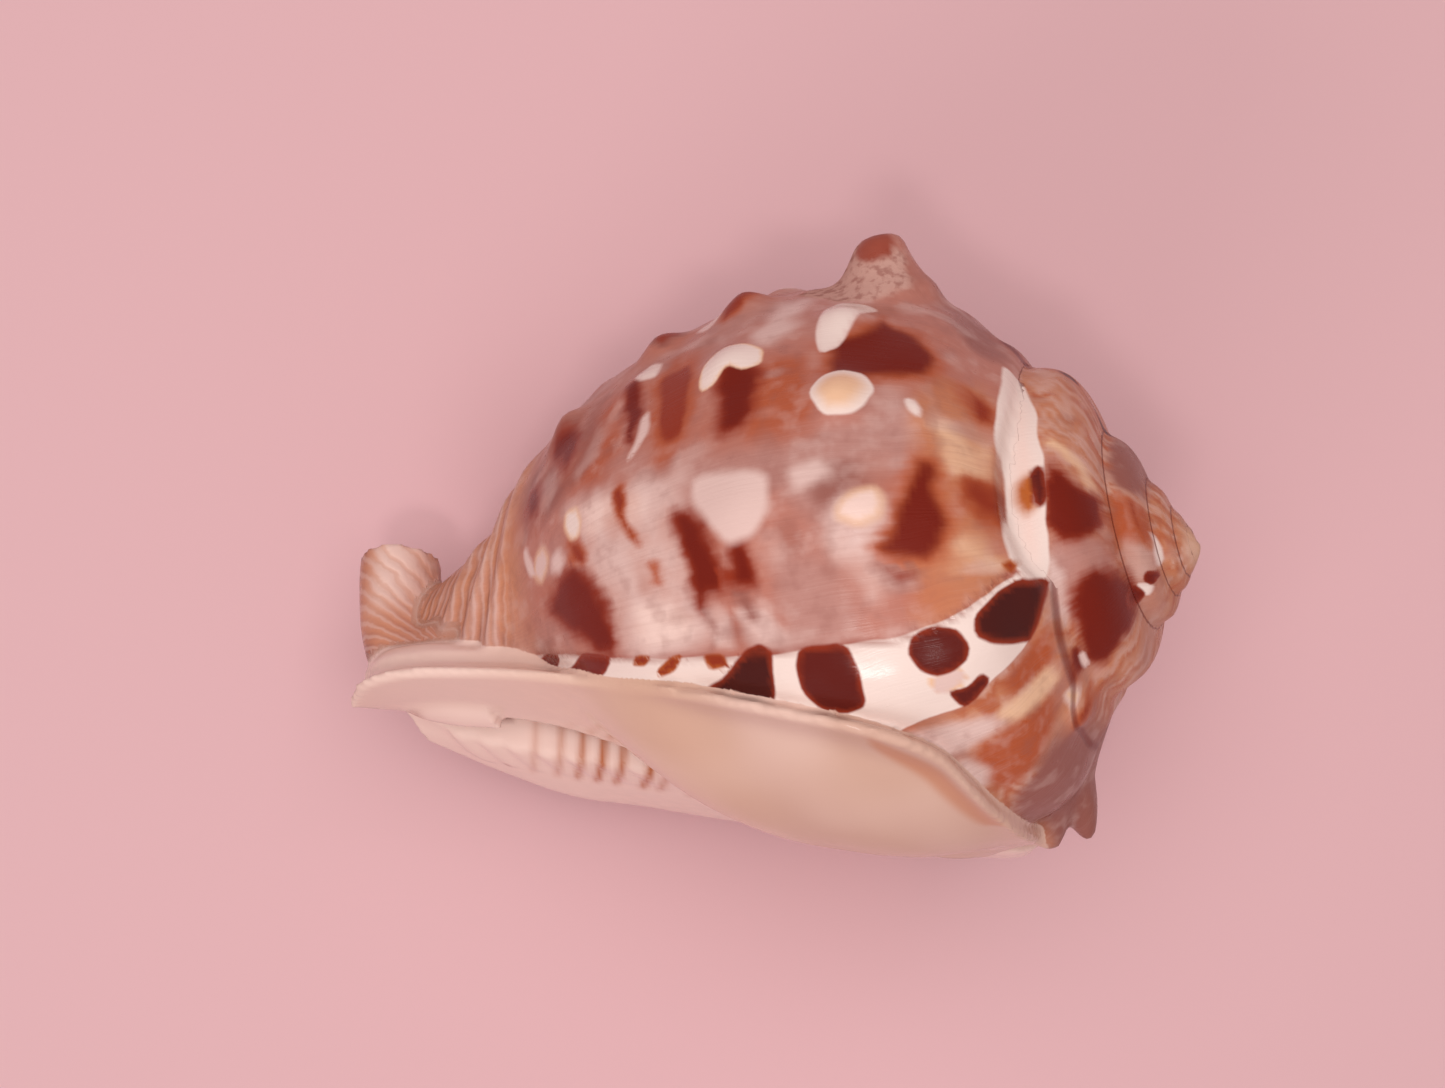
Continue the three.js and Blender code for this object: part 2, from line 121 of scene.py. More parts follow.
# Shield on the near side of the aperture: its free edge and its aperture edge
SHIELD_EDGE = [
    (141, -8.5, 12.5), (134, -9, 20), (125.5, -9.5, 22.5), (112, -11.5, 22.5), (100, -15, 25),
    (84.5, -21, 29.5), (69, -27.5, 35.5), (54.5, -32.5, 35), (42.5, -36, 31.5), (36.2, -38, 25),
    (34, -40, 17.5), (33, -41, 9.5), (32, -40.5, -3), (33, -36.5, -18), (36, -31, -34),
    (39, -27, -46),
]
SHIELD_INNER = [
    (139.5, -5, 2), (133, -6.5, 2.5), (126, -8.2, 2), (116, -10.5, 0), (107, -13, -1.5),
    (97, -17, -4), (86, -22, -9), (74, -27.5, -14.5), (63, -31.5, -19.5), (56, -33.5, -22),
    (51, -35, -24), (47, -35, -26), (44.5, -34, -29), (44, -32, -33), (44, -29.5, -38),
    (44, -27, -43),
]
SHIELD_OVER_BODY = 0.9
SHIELD_EDGE_DEPTH = 2.4
SHIELD_DEPTH = 9.0

# Outer lip on the far side: outer margin and toothed margin
LIP_OUTER = [
    (140, -6, -12), (131, -9, -26), (121, -12, -36), (110, -13, -43), (98, -14.5, -51),
    (88, -15, -58.5), (79, -15, -65.5), (70, -16.5, -69.2), (60, -20, -66.5), (50, -24, -60.5),
    (43, -26.5, -53), (39, -27.5, -45),
]
LIP_INNER = [
    (139, -4, -3), (130, -7.5, -3), (121, -10, -4), (111, -13, -6), (101, -15.5, -9),
    (91, -18, -13), (80, -20.5, -19), (69, -23, -25), (59, -25.5, -28.5), (51, -28, -31),
    (46, -29.5, -33), (43, -30, -36),
]
# Section of the lip, (share of the way from toothed to outer margin, depth behind)
LIP_SECTION = [
    (0, 0), (0.16, -1.1), (0.4, -1.8), (0.68, -1.3), (0.9, 0.2), (0.985, 3.4), (1.015, 8),
    (1.005, 13.5), (0.93, 17.6), (0.68, 16.6), (0.3, 10), (0.06, 5.5), (-0.04, 2.4),
]
# Teeth of the lip, and the section of one as (mm outwards, share of its full size)
TEETH = 15
TOOTH_HALF_WIDTH = 1.5
TOOTH_HEIGHT = 0.45
TOOTH_SECTION = [(-1.5, 0.35), (1, 1), (6.5, 0.9), (10.5, 0.2)]

# Recurved canal: middle line and radii across and towards the viewer
CANAL_PATH = [
    (118, -1, 3, 11, 11), (125, -1, 3.5, 9.5, 10.5), (131, 0, 3.5, 8, 9.5),
    (135.4, 3, 3.5, 6.8, 9), (137.6, 8, 3.5, 6.5, 8.6), (138.6, 14, 3.5, 6.6, 8.2),
    (139, 19, 3.5, 6.8, 7.8), (139, 22.6, 3.5, 6.9, 7.6),
]
CANAL_BORE = [
    (126, -4, -1, 3, 3), (131, -2, 1, 3, 3), (135, 3, 3, 3.2, 3.8),
    (137.4, 9, 3.5, 3.8, 4.6), (138.6, 15, 3.5, 4.6, 5.4), (139, 20, 3.5, 5.1, 5.9),
    (139, 28, 3.5, 5.4, 6.2),
]

# Aperture slot between the shield and the lip, cut level from the aperture face
SLOT_FROM = 56.0
SLOT_TO = 133.0
SLOT_HALF_WIDTH = 3.9
SLOT_DEPTH = 13.0

# Tones, as the eye sees them in daylight
ROSE = (184, 118, 103)
MAUVE = (182, 130, 120)
PLUM = (146, 86, 76)
PALE = (221, 185, 176)
MILK = (234, 208, 198)
CREAM = (230, 182, 148)
TAN = (196, 125, 90)
ORANGE = (174, 82, 48)
RUST = (142, 48, 26)
MAROON = (112, 27, 14)
WINE = (94, 28, 22)
INK = (72, 24, 20)
AMBER = (180, 92, 40)
CHALK = (198, 150, 137)
FOOT = (199, 134, 109)
PEACH = (208, 165, 147)
IVORY = (238, 202, 190)

# Broad soft zones of the body: tone, softness in mm, corners as (h, angle)
ZONES = [
    (PALE, 2.5, [
        (91, 100), (80, 99), (70, 98), (67, 88), (65, 76), (63, 62), (80, 60), (83, 72), (86, 82)]),
    (MAUVE, 2.5, [
        (66, 102), (56, 102), (48, 101), (44, 98), (33, 100), (31, 90), (37, 84), (44, 80), (50, 86),
        (57, 90), (66, 92)]),
    (PLUM, 2, [(46, 92), (39, 92), (38, 86), (45, 84)]),
    (ORANGE, 2, [(57, 114), (47, 115), (45, 107), (44, 98), (50, 95), (57, 99)]),
    (ORANGE, 2, [(73, 128), (66, 125), (65, 108), (68, 101), (74, 101), (75, 114)]),
    (ORANGE, 2.5, [(90, 126), (80, 124), (79, 106), (84, 101), (92, 108)]),
    (PALE, 2, [(57, 139), (50, 138), (51, 118), (56, 120)]),
    (TAN, 2, [(31, 112), (23, 118), (23, 60), (34, 58), (36, 70), (31, 78), (33, 92)]),
    (PALE, 1.6, [(42, 70), (36, 70), (33, 65), (41, 62)]),
    (PALE, 1, [(59.5, 68), (54, 67), (53, 60.5), (58.5, 61)]),
    (PALE, 0.9, [(65.4, 67), (61.8, 67), (60.6, 61), (64, 60)]),
    (MAUVE, 2, [(53, 76), (44, 74), (40, 66), (42, 58), (53, 59)]),
    (IVORY, 1.5, [(88, 99), (80, 98), (74, 92), (76, 88), (86, 92)]),
    (IVORY, 1.5, [(80, 73), (70, 71), (68, 64), (78, 64)]),
    (CREAM, 1.2, [(30, 97), (24, 96), (23.5, 88), (29, 87)]),
    (CREAM, 1.6, [(29, 75), (25, 75), (24, 66), (28, 66)]),
    (PALE, 1.2, [(46, 83), (37, 85), (36, 78), (39, 71), (45, 74)]),
    (PALE, 1.5, [(49, 92), (43, 93), (42, 88), (48, 87)]),
    (PLUM, 2.5, [(106, 130), (85, 130), (84, 112), (92, 102), (104, 108)]),
    (PLUM, 2, [(34, 165), (22, 165), (22, 128), (30, 134)]),
]

# Whorls of the spire and the older shoulder beside the aperture
SPIRE_ZONES = [
    (MAUVE, 1, [(17.6, 69), (11, 67), (10.6, 52), (12, 42), (17, 38), (18.6, 52)]),
    (PALE, 0.8, [(19, 66), (17.4, 64), (16.4, 46), (18.4, 40), (19, 50)]),
    (CREAM, 0.6, [(17.2, 101), (15, 98), (13, 92), (12, 85), (11.4, 92), (13, 99), (16, 104)]),
    (PLUM, 0.8, [(10.4, 175), (6, 175), (6.4, 98), (10.4, 98)]),
    (ORANGE, 0.7, [(10.4, 91), (6.6, 92), (6.2, 66), (8, 62), (10.4, 66)]),
    (CHALK, 0.6, [(9.9, 66), (7, 65), (6, 56), (6.2, 44), (8.8, 39), (10.2, 50)]),
    (PALE, 1.2, [(41, 38), (34, 37), (29, 35), (27, 32), (33, 29), (38, 30), (41, 34)]),
    (ORANGE, 1.5, [(33, 29), (28, 31), (24, 32), (21, 27), (22, 20), (27, 14), (31, 13), (33, 19)]),
    (ORANGE, 1.2, [(27, 42), (22, 46), (19.5, 47), (19.3, 37), (23, 34), (26, 37)]),
    (CREAM, 1, [(28, 35), (25, 36), (21, 36), (20, 30), (23, 29), (27, 31)]),
    (PALE, 1.2, [(37, 26), (34, 28), (31.5, 22), (33, 17), (36, 20)]),
    (PLUM, 2, [(31, 8), (24, 17), (19, 12), (18, -10), (20, -60), (32, -60), (33, -10)]),
]

# Flames with feathered edges: core tone, edge tone, mm to the core, softness, corners
FLAMES = [
    (MAROON, RUST, 2.2, 0.9, [
        (69.5, 89.5), (65.3, 88), (61, 79.5), (60.5, 73), (61, 70), (64, 69.5), (65, 66), (66.7, 71),
        (68, 80.5)]),
    (RUST, RUST, 2, 1.2, [(62.5, 76), (57, 75), (56.5, 70), (62, 70)]),
    (MAROON, RUST, 1.8, 0.8, [(59.5, 80), (57, 80.3), (55.9, 78), (55.8, 70.5), (58, 69.5), (60.5, 71)]),
    (PLUM, PLUM, 1, 1, [(65.5, 69), (64.5, 69), (63.2, 64), (64.2, 63.5)]),
    (PLUM, PLUM, 1, 1, [(60, 70), (58, 70), (56.6, 65), (58.6, 64.5)]),
    (RUST, ORANGE, 1.2, 0.5, [
        (78.5, 99), (76.8, 98), (76.3, 94), (76.8, 91), (75.6, 87), (74.3, 84), (75.5, 83.6),
        (77.2, 87.5), (78.6, 92.5), (79.8, 96)]),
    (ORANGE, ORANGE, 1, 0.8, [(73.8, 79.8), (72, 79.8), (71.4, 75.8), (72.8, 75.4)]),
    (MAROON, RUST, 2.6, 1, [
        (97, 81), (93, 86), (89, 87), (86, 83.5), (83.5, 79), (81.5, 71), (80.8, 66), (82.5, 62),
        (86.5, 63), (90, 68), (94.5, 74), (97, 77.5)]),
    (RUST, ORANGE, 1.6, 0.8, [(90, 93), (87.4, 92), (85.2, 87), (86.4, 83), (89, 86)]),
    (MAROON, RUST, 1.4, 0.8, [(79.5, 124.5), (77, 125), (75.3, 118), (76, 106), (78, 108), (80, 121)]),
    (MAROON, RUST, 2.2, 1.1, [
        (61.4, 114), (59.5, 116.5), (56, 116), (54, 113), (54.4, 103), (56, 99.5), (59.5, 99),
        (61, 103)]),
    (RUST, ORANGE, 1.6, 1, [(73, 124), (67, 123), (65.8, 115), (66.2, 102), (70.5, 101), (73, 110)]),
    (MAROON, RUST, 1.8, 1, [(94, 128), (90, 125), (88, 117), (90, 112), (93, 116), (95, 122)]),
    (MAROON, RUST, 1.8, 1, [(102, 121), (98, 120), (96, 113), (98, 107), (101, 111)]),
    (RUST, ORANGE, 1.6, 0.8, [(66, 138), (62, 143), (58.5, 141), (60.5, 135), (64, 133)]),
    (RUST, PLUM, 1.4, 0.8, [(78, 139), (73, 142), (71, 138), (75, 134)]),
    (MAROON, ORANGE, 2.4, 1, [
        (44.6, 120), (42, 121), (39.5, 126), (38, 130.5), (36, 127), (34, 126.5), (31, 122), (29, 117),
        (31, 110), (35, 108.5), (40, 108.5), (44, 108.5), (45.2, 114)]),
    (MAROON, ORANGE, 2.4, 1.1, [
        (33.5, 91), (30, 91), (28.5, 82), (28.3, 76), (30, 71), (34, 70), (38.5, 71), (39.8, 74),
        (37.2, 77), (36.3, 82), (34.5, 85)]),
    (RUST, ORANGE, 2, 1, [(26.5, 114), (23.5, 113), (22, 110), (21.6, 102), (25, 102), (26.5, 106)]),
    (RUST, ORANGE, 2.4, 0.9, [(27, 88), (22.4, 88), (22, 79), (22.6, 75), (24.5, 76), (27, 81)]),
    (MAROON, RUST, 1, 0.5, [(26, 160), (22, 156), (21, 147), (24, 148)]),
    (RUST, PLUM, 1.5, 1.5, [(39, 70.5), (33, 70), (34, 66.5), (38, 67)]),
    (MAROON, RUST, 1.4, 0.6, [
        (17.3, 96), (16, 92), (13.3, 87), (11, 86), (10.5, 76), (11.5, 68), (14, 66), (17.2, 68),
        (18, 76), (18, 86)]),
    (MAROON, RUST, 1.6, 0.8, [
        (16, 50), (13, 57), (10.4, 52), (9.4, 35), (10, 20), (14, 15), (16.8, 20), (17.2, 34), (17, 44)]),
    (INK, RUST, 0.8, 0.3, [(17.8, 152), (15.6, 147), (13.5, 151), (15, 158)]),
    (INK, RUST, 0.8, 0.3, [(12.5, 152), (11, 149), (9.5, 156), (11, 162)]),
    (RUST, ORANGE, 1, 0.6, [(8, 95), (6.8, 95), (6.2, 78), (6.9, 66), (7.6, 76)]),
    (RUST, ORANGE, 1.2, 0.5, [(20.4, 15), (18.6, 17), (17.6, 12), (19, 9)]),
    (MAROON, RUST, 1, 0.4, [(18.9, 33), (17.2, 33), (16.4, 24), (17.6, 21), (18.6, 26)]),
]

# White knobs, the strip along the suture and the band of the earlier lip, and a pale mark of painted
# highlight on the lit side of a fold
MILKS_AND_HIGHLIGHT = [
    (MILK, PALE, 0.6, 0.3, [
        (46.6, 129), (45, 135), (41, 135), (39, 132), (40.6, 127), (42.8, 117.5), (45.6, 115.5),
        (46.8, 121.5)]),
    (CREAM, MILK, 2.4, 0.3, [
        (46.5, 105), (44.5, 109), (42, 110.7), (39, 110), (37.4, 106.5), (38.3, 102), (40.5, 99.7),
        (44.4, 99.7)]),
    (MILK, PALE, 0.6, 0.4, [(33.7, 104), (32.3, 104.5), (31.2, 102), (31.3, 99.5), (33, 101)]),
    (IVORY, CREAM, 1.2, 1, [
        (41, 84.5), (37.8, 85.5), (36.8, 83), (37.5, 79), (40, 78), (43, 80), (43, 82)]),
    (MILK, CREAM, 0.6, 0.3, [
        (64.6, 113), (64.2, 118), (61.4, 121.6), (57.6, 121.4), (54.4, 118.4), (54.6, 114.8), (57, 113.4),
        (59.5, 115), (61.6, 111.6), (63.6, 111)]),
    (PALE, PALE, 2, 1, [
        (64.6, 93.5), (52.6, 91), (53, 83.5), (55.3, 79.4), (59.5, 79), (62.6, 84), (65, 89)]),
    (MILK, PALE, 0.8, 0.5, [(78, 128), (76, 130.5), (73.5, 128), (73.8, 123), (76.5, 123), (78, 125)]),
    # Painted highlight: a pale crescent on the lit side of the fold between knob rows
    (PALE, PALE, 0.8, 0.6, [
        (75.3, 113), (73.8, 114), (73.2, 108.5), (75.8, 103.5), (77.2, 103), (75.3, 108)]),
    (MILK, CREAM, 0.8, 0.6, [(90, 100), (87, 99.5), (86, 95), (87, 91.5), (89, 92.5), (90.5, 96.5)]),
    (PALE, PALE, 0.8, 1, [(94, 92), (91.5, 92.5), (90.3, 88.5), (92, 86.5), (94.5, 88.5)]),
    (PALE, CREAM, 0.8, 1, [(98, 98), (95.5, 97), (94.5, 92), (97, 88), (98.5, 91), (99, 94)]),
    (PALE, PALE, 0.8, 0.5, [(102, 104), (101, 104), (99.5, 98), (98.3, 92.5), (100, 93), (101.3, 98)]),
    (PALE, PALE, 0.8, 0.6, [(69.5, 137), (66, 141), (64.5, 138), (67, 134)]),
    (IVORY, MILK, 4, 0.25, [
        (22.6, 131), (22.3, 124), (22.4, 110), (23, 97), (23.1, 80), (22.9, 72), (22.1, 66), (20.2, 60),
        (18.7, 58), (17.9, 70), (17.4, 85), (17.4, 97), (18, 112), (19, 121), (20.7, 131.5)]),
    (MILK, MILK, 0.8, 0.2, [
        (18.4, 58), (20.5, 62), (22.2, 63.8), (29.4, 59), (37.7, 57), (43.7, 57.6), (50.3, 58.2),
        (56.9, 58.2), (63.8, 59.3), (71.2, 60.2), (81.3, 61.8), (96.9, 65.6), (107, 68.6), (110.4, 67),
        (110, 60), (105, 52), (85, 46), (70.9, 43), (43.4, 35), (41, 39.6), (32.2, 40.1), (27.8, 43),
        (22.4, 46), (20, 51.4)]),
    (PALE, CREAM, 0.6, 0.4, [(35, 48.5), (31, 50), (29.6, 46), (33.6, 43.8), (35.2, 45)]),
    (MILK, PALE, 0.5, 0.25, [(6.4, 76), (5.7, 73), (5.2, 60), (5.4, 46), (6.2, 43), (6.5, 55), (6.1, 66)]),
    (MILK, PALE, 0.5, 0.25, [(9.3, 38), (7.4, 36), (6.7, 30), (8, 26), (9.5, 31)]),
    (PALE, PALE, 0.5, 0.3, [(17.6, 30), (16.7, 28), (16.6, 22), (17.6, 21)]),
    (CREAM, PALE, 0.8, 0.5, [(20.6, 24), (19, 24), (18.6, 18), (20.2, 17)]),
]

# Dark blotches on the band, with amber rims
BLOTCHES = [
    (INK, RUST, 1.1, 0.25, [
        (21.5, 62.5), (20.3, 60.5), (18.4, 58), (19.1, 54), (20.6, 49), (22.2, 45.8), (23.8, 48),
        (26, 51), (27.8, 54), (27.6, 57.5), (25, 60.8)]),
    (WINE, RUST, 0.7, 0.25, [
        (36, 56.8), (33, 58), (30, 56.6), (28.6, 52.5), (29.3, 50), (31.5, 48.3), (34, 48.3), (36, 50.5),
        (36.8, 54)]),
    (WINE, RUST, 0.7, 0.25, [
        (33.3, 44.8), (30.5, 44.2), (28.2, 46.3), (27.4, 43.5), (29.5, 41), (32, 39.8)]),
    (WINE, RUST, 0.9, 0.25, [
        (51.6, 58.8), (44.6, 58.2), (43.5, 53), (43.8, 46), (47, 45), (50.4, 46.5), (52.2, 50),
        (52.3, 55)]),
    (INK, RUST, 1, 0.3, [
        (57.4, 60.6), (55.2, 59), (56.2, 51), (59.5, 46), (69, 48), (70, 52), (63.6, 55.6),
        (59.8, 59.6)]),
    (RUST, AMBER, 0.6, 0.35, [(66.5, 60), (63, 59.8), (62.5, 57.5), (66, 56.8)]),
    (RUST, AMBER, 0.5, 0.3, [(71.8, 60.8), (69.6, 61), (71.5, 57.8), (75, 56.6), (75, 58.4)]),
    (RUST, AMBER, 0.5, 0.3, [(78.3, 62), (75.3, 61.2), (77, 59.2), (79.4, 60)]),
    (MAROON, RUST, 0.6, 0.25, [
        (87.5, 64.4), (82.6, 62.4), (87.5, 56.6), (96.5, 55.8), (98, 58.6), (92.4, 61.4), (90, 64.4)]),
    (MAROON, RUST, 0.6, 0.25, [
        (100.4, 67), (95.2, 65.2), (99.6, 58.4), (107.4, 57.2), (109, 60.6), (103, 64)]),
    (AMBER, TAN, 1.2, 1.1, [(21.8, 89), (20.2, 92), (18.6, 92), (18.6, 80), (20.4, 79), (21.8, 83)]),
    (WINE, RUST, 0.8, 0.35, [(19, 94), (17.4, 94), (17, 83), (18, 79), (19.2, 82), (19.7, 90)]),
    (RUST, AMBER, 0.5, 0.3, [(23.6, 67.6), (22.2, 68), (21.4, 65), (22.4, 64)]),
    (MAROON, RUST, 0.4, 0.2, [(7.8, 46), (6.2, 43), (5.8, 36), (7.1, 33), (8.2, 38)]),
    (MAROON, RUST, 0.5, 0.25, [(10.4, 39), (9.2, 37), (8.2, 28), (9.5, 23), (10.7, 30)]),
]

# Darker rim of the shield beside the older shoulder
SHIELD_ZONES = [
    (TAN, 1.0, [(44, 42), (37, 31), (34.5, 16), (33, 4), (36, 5), (38, 17), (40, 28), (45, 38)]),
]

# Places of the dark bars outside the rolled lip, as h, and their half width
LIP_BARS = (122, 107, 92, 76, 60)
LIP_BAR_HALF_WIDTH = 3.6

# Line of the earlier lip's edge on the body, along which a line of painted shade is drawn, and the crease
# in front of the older whorl, (h, angle)
OLD_LIP = [
    (19.7, 57.8), (22.2, 64), (29.4, 59), (37.7, 56.8), (43.7, 57.6), (50.3, 58.2), (63.8, 59.3),
    (71.2, 60.2), (81.3, 61.8), (96.9, 65.6), (107, 68.6), (112, 70),
]
CREASE = [(17, 60), (20.2, 51.4), (22.4, 46), (27.8, 43), (32.2, 40.1), (41, 39.6), (60, 38)]

# The last suture where it shows, as (angle, h); a line of painted shade follows the sutures
LAST_SUTURE = [
    (-5, 20.6), (16, 20), (24, 19), (40, 18.9), (52, 18.4), (62, 17.9), (75, 17.5), (90, 17.5),
    (102, 17.7), (111, 18.2), (120, 19.2), (132, 21),
]

# Brown lines across the lip, as (h at the toothed margin, strength), and how much they lean
LIP_LINES = [
    (115.4, 0.35), (111, 0.5), (107.4, 0.8), (104, 1.0), (100.8, 0.9), (96.3, 1.0), (93.6, 0.6),
    (88.5, 0.9), (84, 0.6), (78, 0.6), (72, 0.5), (66, 0.5), (60, 0.4),
]
LIP_LINE_LEAN = 0.5
LIP_LINE_HALF_WIDTH = 0.85

# Chalky worn patch on the horn: mm towards the canal, mm above the root, degrees; and its reach
CHALK_AT = (2.6, 2.6, -6.0)
CHALK_REACH = 7.0

# Red tip of the horn, placed in the same way
HORN_TIP_AT = (0.0, 8.2, -5.0)

# Zigzag colour lines of the spire: reach in degrees, and length of one leg in mm
ZIGZAG = 5.0
ZIGZAG_STEP = 1.8

# Fine ribs of the foot and the canal, and the point that those of the canal fan out from
RIB_SPACING = 1.9
FAN_CENTRE = (117.0, -6.0)
FAN_RADIUS = 26.0

# How often the corners of a mark are cut off to make its outline smooth, and by how much
CORNER_CUTS = 2
CUT_SHARE = 0.16

# Cover of a mark far outside it, and the most that it can be inside
NO_COVER = -9.0
FULL_COVER = 30.0

# Distances in mm over which the tones of the shield and canal, and of the lip, give way to the body's
TRIM_FADE = (1.0, 0.25)
LIP_FADE = (2.2, 1.3)

# Grid that the forms meet on: its step and box in mm, and how many steps a form is felt
VOXEL = 0.82
GRID_LOW = np.array([-76.0, -60.0, -5.0])
GRID_HIGH = np.array([76.0, 60.0, 115.0])
GRID_SHAPE = tuple(np.ceil((GRID_HIGH - GRID_LOW) / VOXEL).astype(int))
FIELD_REACH = 7

# Forms added to the body and then cut from it, in this order, and mm over which each meets the rest
ADDED = {"horn": 2.5, "canal": 2.5, "lip": 2.0, "shield": 1.0, "teeth": 3.0}
CUT_OUT = {"slot": 1.2, "bore": 1.0}

# Camera straight above, as the photo was taken, in mm
CAMERA_AT = (-4.5, 3.27, 404.3)
LENS_MM = 53.4
SENSOR_MM = 36.0

# Lamps: name, place and size in m, watts, and whether the gloss mirrors them
LAMPS = [
    ("sky_panel", (0.0, 0.2, 1.1), (1.0, 0.8), 8, False),
    ("fill_panel", (-0.5, -0.8, 0.7), (0.7, 0.5), 3, False),
    ("lamp_panel", (-0.06, -0.16, 0.75), (0.1, 0.06), 0.7, True),
]
LAMPS_AIM_AT = (0, 0, 0.03)

# Floor below the shell, and the light of the room
FLOOR_SIZE = 4.0
FLOOR_COLOUR = (0.705, 0.409, 0.425, 1)
ROOM_COLOUR = (1.0, 0.93, 0.93, 1)
ROOM_LIGHT = 0.34


def hermite(t, step, start, end, start_slope, end_slope):
    """Smooth way from one point to the next, with t from 0 to 1."""
    u = 1 - t
    return ((1 + 2 * t) * u * u * start + t * u * u * step * start_slope
            + t * t * (3 - 2 * t) * end - t * t * u * step * end_slope)


def curve(points):
    """Smooth curve through listed points that never overshoots them."""
    x, y = np.array(points, float).T
    step = np.diff(x)
    rise = np.diff(y) / step
    slope = np.zeros_like(y)
    slope[0], slope[-1] = rise[0], rise[-1]
    for i in range(1, len(x) - 1):
        if rise[i - 1] * rise[i] > 0:
            a = 2 * step[i] + step[i - 1]
            b = step[i] + 2 * step[i - 1]
            slope[i] = (a + b) / (a / rise[i - 1] + b / rise[i])

    def value(at):
        v = np.clip(at, x[0], x[-1])
        i = np.clip(np.searchsorted(x, v, side="right") - 1, 0, len(step) - 1)
        return hermite((v - x[i]) / step[i], step[i], y[i], y[i + 1], slope[i], slope[i + 1])

    return value


def spline(points):
    """Round line through listed points, with t from 0 to 1."""
    pts = np.array(points, float)
    length = np.concatenate([[0], np.cumsum(np.sqrt(np.linalg.norm(np.diff(pts, axis=0), axis=1)))])
    share = np.linspace(0, 1, len(pts))
    slope = np.gradient(pts, length, axis=0)

    def value(t):
        t = np.atleast_1d(np.asarray(t, float))
        at = np.interp(t, share, length)
        i = np.clip(np.searchsorted(length, at, side="right") - 1, 0, len(pts) - 2)
        step = (length[i + 1] - length[i])[:, None]
        w = (at - length[i])[:, None] / step
        return hermite(w, step, pts[i], pts[i + 1], slope[i], slope[i + 1])

    return value


def ease(start, end, at):
    """Smooth step from 0 at start to 1 at end."""
    t = np.clip((at - start) / (end - start), 0, 1)
    return t * t * (3 - 2 * t)


def soft_max(a, b, reach):
    """The larger of two values, rounded where they come within reach of each other."""
    t = np.clip(0.5 + 0.5 * (a - b) / reach, 0, 1)
    return b * (1 - t) + a * t + reach * t * (1 - t)


def soft_min(a, b, reach):
    return -soft_max(-a, -b, reach)


def bell(distance, half_width):
    return np.exp(-1.4 * (distance / half_width) ** 2)


body_outline = curve(BODY_OUTLINE)
spire_outline = curve(SPIRE_OUTLINE)
face_distance = curve(FACE_DISTANCE)
band_middle = curve(BAND_MIDDLE)
old_lip_angle = curve(OLD_LIP)
last_suture = curve(LAST_SUTURE)
crease_angle = curve(CREASE)
lip_outer_back = curve([(p[0], p[1]) for p in LIP_OUTER[::-1]])


def growth(angle):
    """Size of the shell when its mouth stood at this angle."""
    since = angle - UNIT_ANGLE
    fast = np.minimum(since, SLOW_AFTER)
    slow = np.clip(since - SLOW_AFTER, 0, None) * SLOW_SHARE
    return GROWTH ** ((fast + slow) / 360)


def whorl(h, angle):
    """Radius of the one whorl whose mouth stood at this angle, counted on over all turns."""
    size = growth(angle)
    early = ease(-40, -160, angle)
    x = h / size
    near_drop = np.exp(-(((angle - SUTURE_DROP_ANGLE) / SUTURE_DROP_SPREAD) ** 2))
    drop = SUTURE_DROP * near_drop * ease(52, 66, angle) / size
    late = np.where(x < SHOULDER_H + drop, x - drop, x)
    return size * ((1 - early) * body_outline(late) + early * spire_outline(x))


def spire_share(h):
    return np.exp(-(((h - SPIRE_MIDDLE) / SPIRE_SPREAD) ** 2))


def whorls_radius(h, angle):
    """Radius of the whorls, for an angle from -90 to 270."""
    radius = whorl(h, angle)
    for turn in range(1, OLDER_TURNS + 1):
        radius = soft_max(radius, whorl(h, angle - 360 * turn), 0.4)
    ahead = np.cos(np.radians(angle))
    face = np.where(ahead > 0.02, face_distance(h) / np.maximum(ahead, 0.02), 1000)
    last = soft_min(whorl(h, angle + 360), face, 3)
    radius = np.where(angle < -30, soft_max(radius, last, 1.5), radius)
    return np.maximum(radius - SPIRE_TRIM * spire_share(h), 0.4)


def angle_apart(a, b):
    return (a - b + 180) % 360 - 180


def relief(h, angle, radius):
    """Knobs, the band and the ridges of the foot, added to the smooth whorls."""
    lift = np.zeros_like(radius)
    for kh, ka, height, width in KNOBS:
        round_way = np.radians(angle_apart(angle, ka)) * radius
        lift += height * bell(np.hypot(h - kh, round_way), width)
    along = np.radians(angle_apart(angle, band_middle(h))) * radius
    lift += BAND_HEIGHT * bell(along, BAND_HALF_WIDTH) * ease(16, 21, h) * ease(124, 112, h)
    foot = ease(60, 72, angle) * ease(158, 140, angle)
    for rh, slope, height in FOOT_RIDGES:
        lift += height * bell(h - rh - slope * (angle - 90), FOOT_RIDGE_HALF_WIDTH) * foot
    return lift


def ring_centre(h):
    lean = SPIRE_LEAN * spire_share(h)
    return -lean * math.cos(SPIRE_LEAN_ANGLE), lean * math.sin(SPIRE_LEAN_ANGLE)


def polar(h, angle, radius):
    back, near = ring_centre(h)
    turn = np.radians(angle)
    return np.stack([h + 0 * radius, back - radius * np.cos(turn), near + radius * np.sin(turn)], -1)


def to_polar(points):
    """h, angle from -90 to 270 and radius of points in the shell's frame."""
    h = points[..., 0]
    back, near = ring_centre(h)
    b, n = points[..., 1] - back, points[..., 2] - near
    angle = np.degrees(np.arctan2(n, -b))
    return h, np.where(angle < -90, angle + 360, angle), np.hypot(b, n)


